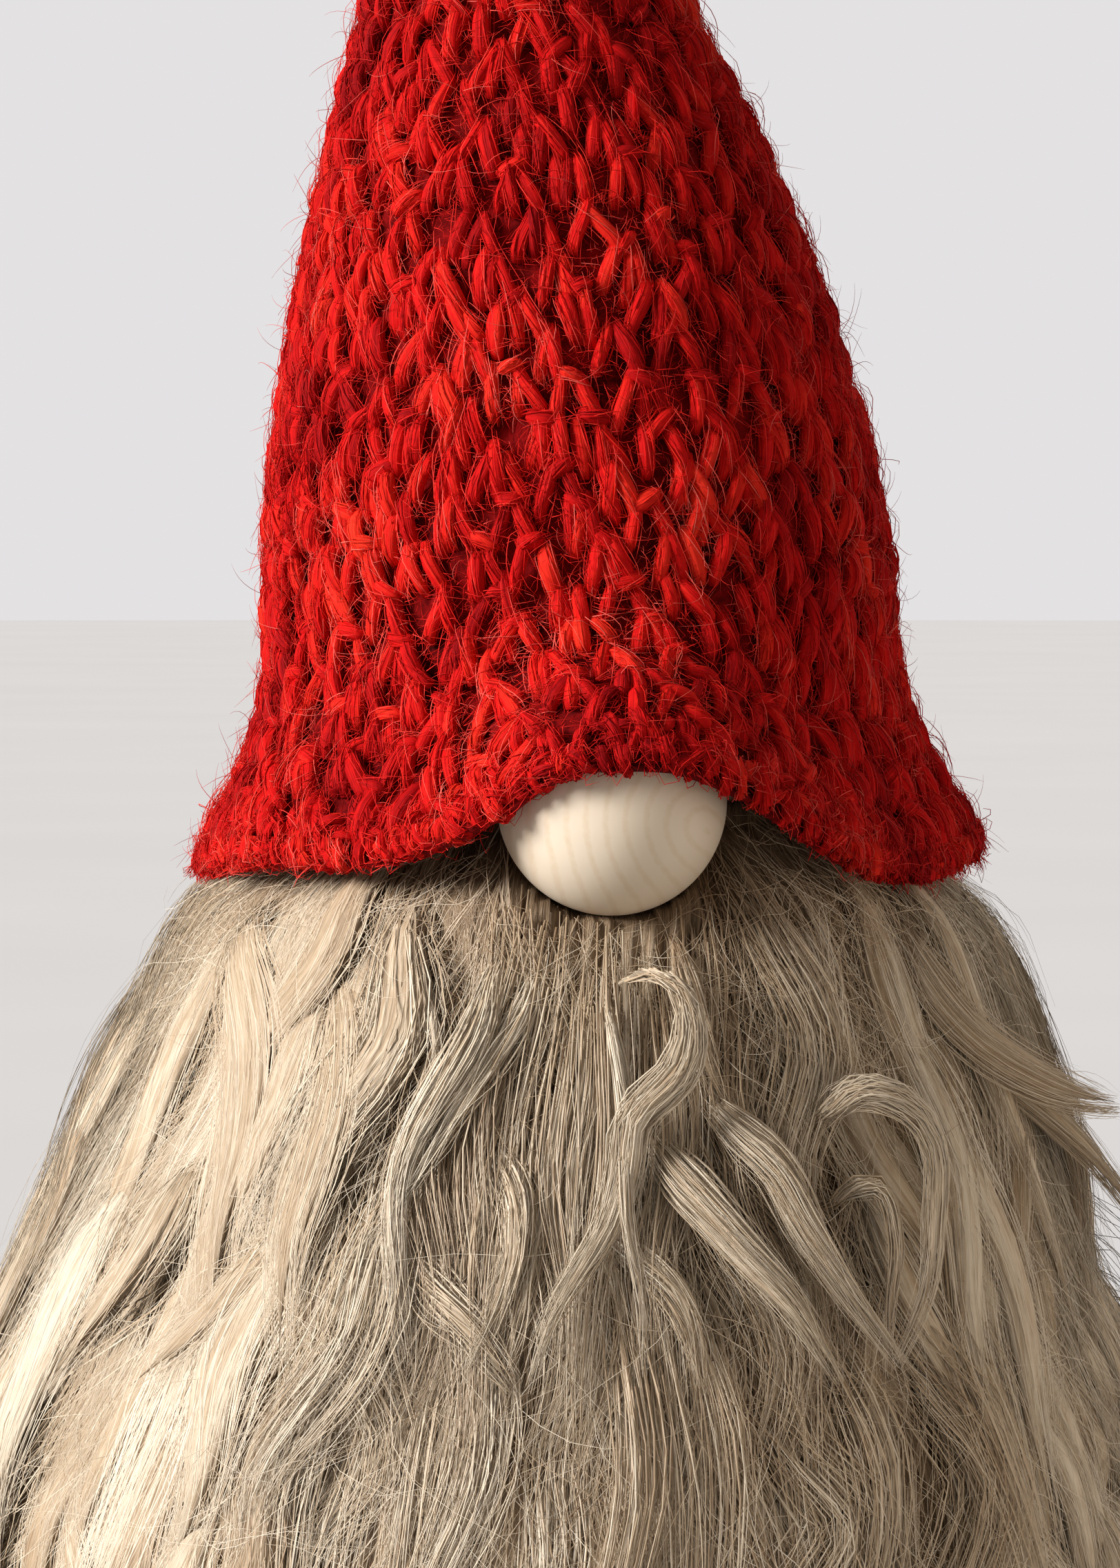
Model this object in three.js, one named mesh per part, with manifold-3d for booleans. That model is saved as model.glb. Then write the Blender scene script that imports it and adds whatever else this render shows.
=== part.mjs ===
// Tomte gnome figurine: a stuffed body with a long wool beard, a wooden ball nose and a crocheted
// hat that lifts off. Millimetres, +Z up. The origin is the middle of the pad's underside, and the
// figure faces -Y.
import * as THREE from 'three';
import { mergeVertices } from 'three/addons/utils/BufferGeometryUtils.js';
import Module from 'manifold-3d';

const wasm = await Module();
wasm.setup();

// Driving dimensions
const fitGap = 0.4;
const roundSegments = 32;
const hiddenSegments = 24;
const hatSegments = 48;
const ballSegments = 28;
const boreSegments = 20;
const outlineSteps = 20;

const padThickness = 2;
const padInset = 1;
const boardThickness = 4;

const bodyFootRadius = 76;
const bodyBellyRadius = 66;
const bodyBellyHeight = 70;
const waistTuck = 3;
const neckRadius = 41;
const napeRise = 30;
const headBulgeRise = 65;
const crownRise = 100;
const crownRound = 10;
const coverThickness = 2.5;
const hemWidth = 14;

const pouchRadius = 52;
const pouchThickness = 18;

const hideThickness = 2;
const hideFootHeight = 14;
const hideRiseAboveNose = 14;
const hideHalfAngle = THREE.MathUtils.degToRad(105);

const woolTopThickness = 14;
const woolFootThickness = 20;
const woolFootHeight = 12;
const woolPartingAngle = THREE.MathUtils.degToRad(34);

const noseDiameter = 35;
const noseHeight = 165;
const noseDent = 8;
const noseEase = 0.8;

const screwRadius = 2;
const screwHeadRadius = 4;
const screwHeadThickness = 2.4;
const screwBite = 17;
const screwHoleClearance = 0.6;
const washerRadius = 9;
const washerThickness = 1.2;
const boreRunOut = 1;

const hatWall = 3.5;
const hatEase = 1.5;
const hatRise = 185;
const brimDrop = 12;
const brimFlare = 13.6;
const waistEase = 3.5;
const crownTaper = 1.8;
const shoulderTaper = 10.8;
const shoulderShare = 0.47;
const coneShare = 0.71;
const tipShare = 0.93;
const tipRadius = 7.5;
const hatLean = 20;
const edgingHeight = 6;
const edgingBulge = 1.2;
const edgingSides = 8;
const archRise = 18;
const archHalfAngle = THREE.MathUtils.degToRad(25);
const nosePush = 12;
const noseDrapeEase = 2;
const brimWave = 1.4;
const brimWaves = 5;
const flareTop = 36;
const headCrownGap = 16;

// Derived places. The hat is sized from the neck outwards, so that it always goes over the hide.
const noseRadius = noseDiameter / 2;
const coverFoot = padThickness + fitGap;
const boardBottom = coverFoot + coverThickness + fitGap;
const boardTop = boardBottom + boardThickness;
const napeHeight = noseHeight + napeRise;
const crownHeight = noseHeight + crownRise;
const hideOffset = fitGap + hideThickness;
const waistRadius = neckRadius + hideOffset + waistEase + hatWall;
const brimRadius = waistRadius + brimFlare;
const crownRadius = waistRadius - crownTaper;
const shoulderRadius = waistRadius - shoulderTaper;
const woolOffset = hideOffset + fitGap;
const woolTopHeight = noseHeight - noseRadius - 2 * fitGap;
const noseCentre = new THREE.Vector3(0, -(neckRadius + hideOffset + noseRadius - noseDent), noseHeight);
const hatHollowRise = hatRise - 3 * hatWall;
const nosePocket = noseRadius + noseEase;

// The hat's outer outline, as radius against height above the nose's centre.
const hatOutline = new THREE.SplineCurve([
  new THREE.Vector2(brimRadius, -brimDrop),
  new THREE.Vector2((brimRadius + waistRadius) / 2, 1),
  new THREE.Vector2(waistRadius + 2, 11),
  new THREE.Vector2(waistRadius, 22),
  new THREE.Vector2(crownRadius, 48),
  new THREE.Vector2(shoulderRadius, shoulderShare * hatRise),
  new THREE.Vector2((shoulderRadius + tipRadius) / 2, coneShare * hatRise),
  new THREE.Vector2(tipRadius, tipShare * hatRise),
  new THREE.Vector2(0, hatRise),
]).getPoints(120);

// Reads an outline of (radius, height) points, sorted by height, at one height.
function radiusAt(outline, height) {
  const above = outline.findIndex((point) => point.y >= height);
  if (above < 0) return outline.at(-1).x;
  if (above === 0) return outline[0].x;
  const low = outline[above - 1];
  const high = outline[above];
  return THREE.MathUtils.mapLinear(height, low.y, high.y, low.x, high.x);
}

// How far the hat has leaned towards -X at a height above the nose's centre.
function leanAt(rise) {
  return hatLean * (Math.max(rise, 0) / hatRise) ** 2;
}

// The head inside the hat: the hat's inner wall less its ease and its lean.
function headRadiusAt(height) {
  const rise = height - noseHeight;
  return radiusAt(hatOutline, rise) - hatWall - hatEase - leanAt(rise);
}

// The cover's outer outline from the foot to the crown, which is rounded off below the hat's cone.
const bodyOutline = new THREE.SplineCurve([
  new THREE.Vector2(bodyFootRadius, coverFoot),
  new THREE.Vector2(bodyBellyRadius, bodyBellyHeight),
  new THREE.Vector2((bodyBellyRadius + neckRadius) / 2 - waistTuck, (bodyBellyHeight + noseHeight) / 2),
  new THREE.Vector2(neckRadius, noseHeight),
  new THREE.Vector2(Math.min(headRadiusAt(napeHeight), neckRadius + waistTuck), napeHeight),
  new THREE.Vector2(headRadiusAt(noseHeight + headBulgeRise), noseHeight + headBulgeRise),
  new THREE.Vector2(0.82 * headRadiusAt(crownHeight - crownRound), crownHeight - crownRound),
  new THREE.Vector2(0.42 * headRadiusAt(crownHeight), crownHeight - crownRound / 5),
  new THREE.Vector2(0, crownHeight),
]).getSpacedPoints(outlineSteps);

function rangeOf(low, high, steps) {
  return Array.from({ length: steps + 1 }, (unused, index) => THREE.MathUtils.lerp(low, high, index / steps));
}

// Moves an outline of (radius, height) points inwards by a distance, square to itself.
function insetOutline(outline, distance) {
  return outline.map((point, index) => {
    const before = outline[Math.max(index - 1, 0)];
    const after = outline[Math.min(index + 1, outline.length - 1)];
    const along = after.clone().sub(before).normalize();
    return new THREE.Vector2(point.x - along.y * distance, point.y + along.x * distance);
  });
}

// The stretch of an outline between two heights, with an exact point at each end.
function clipOutline(outline, low, high) {
  const between = outline.filter((point) => point.y > low + fitGap && point.y < high - fitGap && point.x > 0);
  const start = new THREE.Vector2(radiusAt(outline, low), low);
  const end = new THREE.Vector2(Math.max(radiusAt(outline, high), fitGap), high);
  return [start, ...between, end];
}

// Turns (radius, height) points into a solid of revolution about Z.
function revolve(points, segments = roundSegments) {
  return new THREE.LatheGeometry(points, segments).rotateX(Math.PI / 2);
}

function toSolid(geometry) {
  geometry.deleteAttribute('normal');
  geometry.deleteAttribute('uv');
  const merged = mergeVertices(geometry, 1e-3);
  return new wasm.Manifold(new wasm.Mesh({
    numProp: 3,
    vertProperties: merged.attributes.position.array,
    triVerts: new Uint32Array(merged.index.array),
  }));
}

function toGeometry(solid) {
  const mesh = solid.getMesh();
  const geometry = new THREE.BufferGeometry();
  geometry.setAttribute('position', new THREE.BufferAttribute(mesh.vertProperties, 3));
  geometry.setIndex(new THREE.BufferAttribute(mesh.triVerts, 1));
  geometry.computeVertexNormals();
  return geometry;
}

function cylinderAlongY(radius, fromY, toY, segments = boreSegments) {
  const geometry = new THREE.CylinderGeometry(radius, radius, Math.abs(toY - fromY), segments);
  return geometry.translate(0, (fromY + toY) / 2, noseHeight);
}

// A tall pie slice, from one turn angle to another, both measured from the front (-Y) towards +X.
function wedge(fromAngle, toAngle, reach) {
  const slice = new THREE.Shape();
  slice.moveTo(0, 0);
  for (const angle of rangeOf(fromAngle, toAngle, 8)) {
    slice.lineTo(reach * Math.sin(angle), -reach * Math.cos(angle));
  }
  return new THREE.ExtrudeGeometry(slice, { depth: crownHeight + hatRise, bevelEnabled: false });
}

// A ball round the nose's centre, larger than the pocket that the nose sits in by a distance.
function noseBubble(standoff) {
  const bubble = new THREE.SphereGeometry(nosePocket + standoff, 24, 16);
  return toSolid(bubble.translate(noseCentre.x, noseCentre.y, noseCentre.z));
}

// The body's solid between two heights, grown by a distance that may change with the height, and
// pressed in where the nose sits, at a standoff from the nose's pocket.
function bodyBulk(outline, lowHeight, highHeight, growAt, standoff, segments = roundSegments) {
  const side = clipOutline(outline, lowHeight, highHeight);
  const grown = side.map((point) => new THREE.Vector2(point.x + growAt(point.y), point.y));
  const profile = [new THREE.Vector2(0, lowHeight), ...grown, new THREE.Vector2(0, highHeight)];
  return toSolid(revolve(profile, segments)).subtract(noseBubble(standoff));
}

function basePad() {
  const radius = bodyFootRadius - padInset;
  const outline = [
    new THREE.Vector2(0, 0),
    new THREE.Vector2(radius - padInset / 2, 0),
    new THREE.Vector2(radius, padInset / 2),
    new THREE.Vector2(radius, padThickness - padInset / 2),
    new THREE.Vector2(radius - padInset / 2, padThickness),
    new THREE.Vector2(0, padThickness),
  ];
  return revolve(outline);
}

function baseBoard() {
  const radius = radiusAt(bodyOutline, boardTop) - coverThickness - fitGap;
  const outline = [
    new THREE.Vector2(0, boardBottom),
    new THREE.Vector2(radius, boardBottom),
    new THREE.Vector2(radius, boardTop),
    new THREE.Vector2(0, boardTop),
  ];
  return revolve(outline);
}

function sandPouch() {
  const bottom = boardTop + fitGap;
  const edge = pouchThickness / 2;
  const side = rangeOf(-Math.PI / 2, Math.PI / 2, 8).map((angle) => new THREE.Vector2(
    pouchRadius - edge + edge * Math.cos(angle),
    bottom + edge + edge * Math.sin(angle),
  ));
  const profile = [new THREE.Vector2(0, bottom), ...side, new THREE.Vector2(0, bottom + pouchThickness)];
  return revolve(profile, hiddenSegments);
}

function screwHole() {
  return toSolid(cylinderAlongY(screwRadius + screwHoleClearance, 0, -2 * bodyFootRadius));
}

// A cone-shaped bag of cloth, closed at the crown, with its hem turned in under the base board.
function bodyCover() {
  const hemTop = coverFoot + coverThickness;
  const lining = insetOutline(bodyOutline, coverThickness);
  const liningTop = crownHeight - coverThickness;
  const outside = bodyBulk(bodyOutline, coverFoot, crownHeight, () => 0, hideOffset);
  const inside = bodyBulk(lining, hemTop, liningTop, () => 0, hideOffset + coverThickness);
  const mouthRadius = bodyFootRadius - coverThickness - hemWidth;
  const plug = new THREE.CylinderGeometry(mouthRadius, mouthRadius, 4 * coverThickness, roundSegments);
  const mouth = toSolid(plug.rotateX(Math.PI / 2).translate(0, 0, coverFoot));
  return toGeometry(outside.subtract(inside).subtract(mouth).subtract(screwHole()));
}

// The wadding fills the cover above the pouch, and gives way to the nose, the washer and the screw.
function stuffing() {
  const bottom = boardTop + pouchThickness + 2 * fitGap;
  const top = crownHeight - coverThickness - 3 * fitGap;
  const core = insetOutline(bodyOutline, coverThickness + 2 * fitGap);
  const standoff = hideOffset + coverThickness + 2 * fitGap;
  const wad = bodyBulk(core, bottom, top, () => 0, standoff, hiddenSegments);
  const pocket = toSolid(cylinderAlongY(washerRadius + boreRunOut, screwHeadBack + 2 * fitGap, noseCentre.y));
  return toGeometry(wad.subtract(pocket));
}

// The leather backing of the beard, wrapped round the front and the sides of the body.
function beardHide() {
  const top = noseHeight + hideRiseAboveNose;
  const outside = bodyBulk(bodyOutline, hideFootHeight, top, () => hideOffset, 0);
  const inside = bodyBulk(bodyOutline, coverFoot, crownHeight, () => fitGap, hideThickness);
  const front = toSolid(wedge(-hideHalfAngle, hideHalfAngle, 2 * bodyFootRadius));
  return toGeometry(outside.subtract(inside).intersect(front).subtract(screwHole()));
}

function woolGrowthAt(height) {
  const thickness = THREE.MathUtils.mapLinear(
    height,
    woolFootHeight,
    woolTopHeight,
    woolFootThickness,
    woolTopThickness,
  );
  return woolOffset + thickness;
}

// One mass of beard wool between two turn angles, each cut back a little from its neighbour.
function beardWool(fromAngle, toAngle) {
  const partingGap = fitGap / neckRadius;
  const slice = toSolid(wedge(fromAngle + partingGap / 2, toAngle - partingGap / 2, 2 * bodyFootRadius));
  const outside = bodyBulk(bodyOutline, woolFootHeight, woolTopHeight, woolGrowthAt, 0);
  const inside = bodyBulk(bodyOutline, coverFoot, crownHeight, () => woolOffset, 0);
  return toGeometry(outside.subtract(inside).intersect(slice));
}

const noseBack = noseCentre.y + noseRadius;
const washerFront = noseBack + noseEase + hideOffset + coverThickness + 3 * fitGap;
const washerBack = washerFront + washerThickness;
const screwHeadFront = washerBack + fitGap;
const screwHeadBack = screwHeadFront + screwHeadThickness;
const screwTip = noseBack - screwBite;

function noseBall() {
  const ball = new THREE.SphereGeometry(noseRadius, ballSegments, 18);
  ball.rotateX(Math.PI / 2).translate(noseCentre.x, noseCentre.y, noseCentre.z);
  const hole = toSolid(cylinderAlongY(screwRadius + fitGap, noseBack + noseRadius, screwTip - boreRunOut));
  return toGeometry(toSolid(ball).subtract(hole));
}

function noseScrew() {
  const shank = toSolid(cylinderAlongY(screwRadius, screwHeadFront + screwHeadThickness / 2, screwTip));
  const head = toSolid(cylinderAlongY(screwHeadRadius, screwHeadFront, screwHeadBack));
  return toGeometry(shank.add(head));
}

function noseWasher() {
  const disc = toSolid(cylinderAlongY(washerRadius, washerFront, washerBack, ballSegments));
  return toGeometry(disc.subtract(screwHole()));
}

// Shapes a part of the hat, which is made round and upright: the brim flares in soft waves and
// arches over the nose ball, and the point leans. wallOffset is each point's distance from the
// hat's inner wall, so that the drape over the ball keeps the wall's thickness.
function shapeHat(geometry, wallOffset) {
  const position = geometry.attributes.position;
  const point = new THREE.Vector3();
  for (let index = 0; index < position.count; index += 1) {
    point.fromBufferAttribute(position, index);
    const turn = Math.atan2(point.x, -point.y);
    const rise = point.z;
    const droop = 1 - THREE.MathUtils.smoothstep(rise, -brimDrop, flareTop);
    const arch = Math.exp(-((turn / archHalfAngle) ** 2));
    const wave = brimWave * Math.sin(brimWaves * turn);
    const spread = 1 + (droop * (nosePush * arch + wave)) / brimRadius;
    point.x *= spread;
    point.y *= spread;
    point.z += droop * (archRise * arch + wave);
    const reach = noseRadius + noseDrapeEase + wallOffset(index);
    const off = Math.hypot(point.x, point.z);
    if (off < reach && point.y < 0) {
      point.y = Math.min(point.y, noseCentre.y - Math.sqrt(reach ** 2 - off ** 2));
    }
    point.x -= leanAt(rise);
    position.setXYZ(index, point.x, point.y, point.z);
  }
  return geometry;
}

function hatShell() {
  const rimRise = -brimDrop + edgingHeight + fitGap;
  const flareHeights = rangeOf(rimRise, flareTop, 6);
  const wallHeights = [...flareHeights, ...rangeOf(flareTop, hatRise - hatWall, 12).slice(1)];
  const hollowHeights = [...flareHeights, ...rangeOf(flareTop, hatHollowRise, 11).slice(1)].reverse();
  const outer = wallHeights.map((rise) => new THREE.Vector2(radiusAt(hatOutline, rise), rise));
  const inner = hollowHeights.map((rise) => new THREE.Vector2(
    Math.max(radiusAt(hatOutline, rise) - hatWall, hatWall / 2),
    rise,
  ));
  const profile = [new THREE.Vector2(0, hatHollowRise), ...inner, ...outer, new THREE.Vector2(0, hatRise)];
  const wallOffset = (index) => (index % profile.length <= inner.length ? 0 : hatWall);
  return shapeHat(revolve(profile, hatSegments), wallOffset);
}

// The thick crocheted round along the brim: a band with a rounded section.
function hatEdging() {
  const middle = -brimDrop + edgingHeight / 2;
  const section = rangeOf(-Math.PI, Math.PI, edgingSides).map((angle) => {
    const rise = middle + (edgingHeight / 2) * Math.sin(angle);
    const half = hatWall / 2 + edgingBulge;
    return new THREE.Vector2(radiusAt(hatOutline, rise) - hatWall / 2 + half * Math.cos(angle), rise);
  });
  const wallOffset = (index) => {
    const across = Math.cos(THREE.MathUtils.lerp(-Math.PI, Math.PI, (index % section.length) / edgingSides));
    return hatWall / 2 + (hatWall / 2 + edgingBulge) * across + edgingBulge;
  };
  return shapeHat(revolve(section, hatSegments), wallOffset);
}

// The wad that fills the hat's point above the head.
function hatStuffing() {
  const bottom = crownHeight - noseHeight + coverThickness + headCrownGap / 4;
  const top = hatHollowRise - headCrownGap / 2;
  const side = rangeOf(bottom, top, 8).map((rise) => new THREE.Vector2(
    radiusAt(hatOutline, rise) - hatWall - 2 * fitGap,
    rise,
  ));
  const profile = [new THREE.Vector2(0, bottom), ...side, new THREE.Vector2(0, top)];
  return shapeHat(revolve(profile, hiddenSegments), () => 0);
}

function finish(color, roughness, metalness = 0) {
  return new THREE.MeshStandardMaterial({ color, roughness, metalness });
}

function piece(name, geometry, material) {
  const mesh = new THREE.Mesh(geometry, material);
  mesh.name = name;
  return mesh;
}

const base = new THREE.Group();
base.add(
  piece('base_pad', basePad(), finish('#6f6c69', 0.95)),
  piece('base_board', baseBoard(), finish('#b99468', 0.7)),
  piece('sand_pouch', sandPouch(), finish('#cfc4ac', 0.9)),
);

const body = new THREE.Group();
body.add(
  piece('body_cover', bodyCover(), finish('#a9a6a2', 0.95)),
  piece('body_stuffing', stuffing(), finish('#e6e0d2', 0.95)),
);

const beard = new THREE.Group();
beard.add(
  piece('beard_hide', beardHide(), finish('#cdb898', 0.8)),
  piece('beard_wool_left', beardWool(-hideHalfAngle, -woolPartingAngle), finish('#cdbd9f', 0.8)),
  piece('beard_wool_middle', beardWool(-woolPartingAngle, woolPartingAngle), finish('#b9a684', 0.8)),
  piece('beard_wool_right', beardWool(woolPartingAngle, hideHalfAngle), finish('#a8926e', 0.8)),
);

const nose = new THREE.Group();
nose.add(
  piece('nose_ball', noseBall(), finish('#e6cba4', 0.45)),
  piece('nose_washer', noseWasher(), finish('#a7a9ab', 0.35, 1)),
  piece('nose_screw', noseScrew(), finish('#9c9ea0', 0.35, 1)),
);

const hat = new THREE.Group();
hat.position.z = noseHeight;
hat.add(
  piece('hat_shell', hatShell(), finish('#c01418', 0.9)),
  piece('hat_edging', hatEdging(), finish('#c8171a', 0.9)),
  piece('hat_stuffing', hatStuffing(), finish('#e6e0d2', 0.95)),
);

const figure = new THREE.Group();
figure.add(base, body, beard, nose, hat);

export default figure;
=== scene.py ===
"""A standing tomte gnome: crocheted wool hat, wooden nose and a long wool beard on a grey wool body."""

import logging
import math
from dataclasses import dataclass, field
from enum import Enum
from functools import cached_property

import bpy
import numpy as np
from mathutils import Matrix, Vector


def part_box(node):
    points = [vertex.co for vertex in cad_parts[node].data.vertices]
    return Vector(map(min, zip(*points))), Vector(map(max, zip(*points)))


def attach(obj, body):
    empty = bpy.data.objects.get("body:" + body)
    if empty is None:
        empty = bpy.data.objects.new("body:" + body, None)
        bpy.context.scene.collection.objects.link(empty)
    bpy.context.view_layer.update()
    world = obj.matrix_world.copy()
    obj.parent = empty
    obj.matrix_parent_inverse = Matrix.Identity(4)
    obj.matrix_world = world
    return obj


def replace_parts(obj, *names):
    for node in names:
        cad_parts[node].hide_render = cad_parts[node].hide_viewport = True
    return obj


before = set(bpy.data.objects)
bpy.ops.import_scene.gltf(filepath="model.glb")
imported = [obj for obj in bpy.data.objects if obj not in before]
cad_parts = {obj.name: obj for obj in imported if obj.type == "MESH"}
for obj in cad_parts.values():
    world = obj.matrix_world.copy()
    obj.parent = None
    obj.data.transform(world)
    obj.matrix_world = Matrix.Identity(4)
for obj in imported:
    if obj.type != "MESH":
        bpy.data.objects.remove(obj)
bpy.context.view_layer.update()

MM = 0.001
MOST_TRIANGLES = 190_000
LOG = logging.getLogger("tomte")

Array = np.ndarray
Colour = tuple[float, float, float]
Material = bpy.types.Material
Object = bpy.types.Object


# ---------------------------------------------------------------- numbers and lines


def unit(vectors: Array) -> Array:
    """Returns the vectors at length one."""
    return vectors / np.maximum(np.linalg.norm(vectors, axis=-1, keepdims=True), 1e-9)


def ease(value: Array, low: float, high: float) -> Array:
    """Rises smoothly from 0 to 1.

    Args:
        value: Where the step is read.
        low: The value at which it leaves 0.
        high: The value at which it reaches 1.

    Returns:
        The step's height at each value.
    """
    share = np.clip((np.asarray(value, float) - low) / (high - low), 0.0, 1.0)
    return share * share * (3.0 - 2.0 * share)


def smooth_line(knots: Array, count: int) -> Array:
    """Draws an evenly spaced smooth line through a few knots.

    Args:
        knots: The points that the line passes, one a row.
        count: How many points the line gets.

    Returns:
        The line's points, one a row.
    """
    knots = np.asarray(knots, float)
    padded = np.vstack([2 * knots[0] - knots[1], knots, 2 * knots[-1] - knots[-2]])
    share = np.linspace(0, 1, 16, endpoint=False)[:, None]
    spans = []
    for before, start, end, after in zip(padded, padded[1:], padded[2:], padded[3:]):
        spans.append(
            start
            + 0.5 * share * (end - before)
            + share**2 * (before - 2.5 * start + 2 * end - 0.5 * after)
            + share**3 * (1.5 * (start - end) + 0.5 * (after - before))
        )
    line = np.vstack([*spans, knots[-1:]])
    reach = np.append(0, np.cumsum(np.linalg.norm(np.diff(line, axis=0), axis=1)))
    even = np.linspace(0, reach[-1], count)
    return np.stack([np.interp(even, reach, column) for column in line.T], axis=1)


@dataclass(frozen=True)
class Drift:
    """A smooth random field, made of a few plane waves."""

    seed: int
    size: float
    waves: int = 10

    def at(self, points: Array) -> Array:
        """Reads the field.

        Args:
            points: Places in millimetres, in the last axis.

        Returns:
            Values of about -1 to 1.
        """
        rng = np.random.default_rng(self.seed)
        ways = unit(rng.normal(size=(self.waves, points.shape[-1])))
        pitch = rng.uniform(0.7, 1.6, self.waves) * 2 * math.pi / self.size
        phase = rng.uniform(0, 2 * math.pi, self.waves)
        total = sum(np.sin(points @ way * k + p) for way, k, p in zip(ways, pitch, phase))
        return total / math.sqrt(self.waves)


@dataclass
class Strands:
    """Centre lines of one kind, all with as many points: places, radii and tones, in millimetres."""

    points: Array
    radius: Array
    tone: Array

    def __post_init__(self) -> None:
        """Spreads plain radii and tones over all the points."""
        shape = self.points.shape[:2]
        self.radius = np.broadcast_to(self.radius, shape)
        self.tone = np.broadcast_to(self.tone, shape)

    @classmethod
    def gathered(cls, parts: list["Strands"]) -> "Strands":
        """Returns one set that holds all the parts."""
        return cls(
            *(np.concatenate([getattr(p, key) for p in parts]) for key in ("points", "radius", "tone"))
        )

    def some(self, picked: Array) -> "Strands":
        """Returns the strands that are picked by index or mask."""
        return Strands(self.points[picked], self.radius[picked], self.tone[picked])


def full_turn(count: int) -> Array:
    """Returns angles that share out a whole turn."""
    return np.linspace(0, 2 * math.pi, count, endpoint=False)


def grid_of(first: Array, second: Array) -> list[Array]:
    """Returns both values at each point of a grid, the first by row and the second by column."""
    return np.meshgrid(first, second, indexing="ij")


def taper(count: int, tip: float = 0.25) -> Array:
    """Returns radii from 1 at the root to tip at the end."""
    share = np.linspace(0, 1, count)
    return 1 - (1 - tip) * share**1.6


# ---------------------------------------------------------------- meshes


def new_object(name: str, mesh: bpy.types.Mesh, material: Material) -> Object:
    """Puts a mesh in the scene.

    Args:
        name: The piece's name.
        mesh: Its mesh.
        material: Its finish.

    Returns:
        The object.
    """
    mesh.materials.append(material)
    made = bpy.data.objects.new(name, mesh)
    bpy.context.scene.collection.objects.link(made)
    return made


def mesh_from(name: str, vertices: Array, polygons: list[Array]) -> bpy.types.Mesh:
    """Makes a smooth mesh.

    Args:
        name: The mesh's name.
        vertices: Places in millimetres, one a row.
        polygons: Arrays of corner indices, each with one number of corners.

    Returns:
        The mesh, in metres.
    """
    corners = np.concatenate([p.reshape(-1) for p in polygons])
    sizes = np.concatenate([np.full(len(p), p.shape[1]) for p in polygons])
    mesh = bpy.data.meshes.new(name)
    mesh.vertices.add(len(vertices))
    mesh.vertices.foreach_set("co", (vertices * MM).astype(np.float32).reshape(-1))
    mesh.loops.add(len(corners))
    mesh.loops.foreach_set("vertex_index", corners.astype(np.int32))
    mesh.polygons.add(len(sizes))
    mesh.polygons.foreach_set("loop_start", (np.cumsum(sizes) - sizes).astype(np.int32))
    mesh.update(calc_edges=True)
    mesh.polygons.foreach_set("use_smooth", np.ones(len(sizes), bool))
    return mesh


def set_tone(mesh: bpy.types.Mesh, tone: Array) -> None:
    """Stores each vertex's tone, from 0, deep, to 1, light."""
    layer = mesh.attributes.new("tone", "FLOAT", "POINT")
    layer.data.foreach_set("value", tone.astype(np.float32).reshape(-1))


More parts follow.
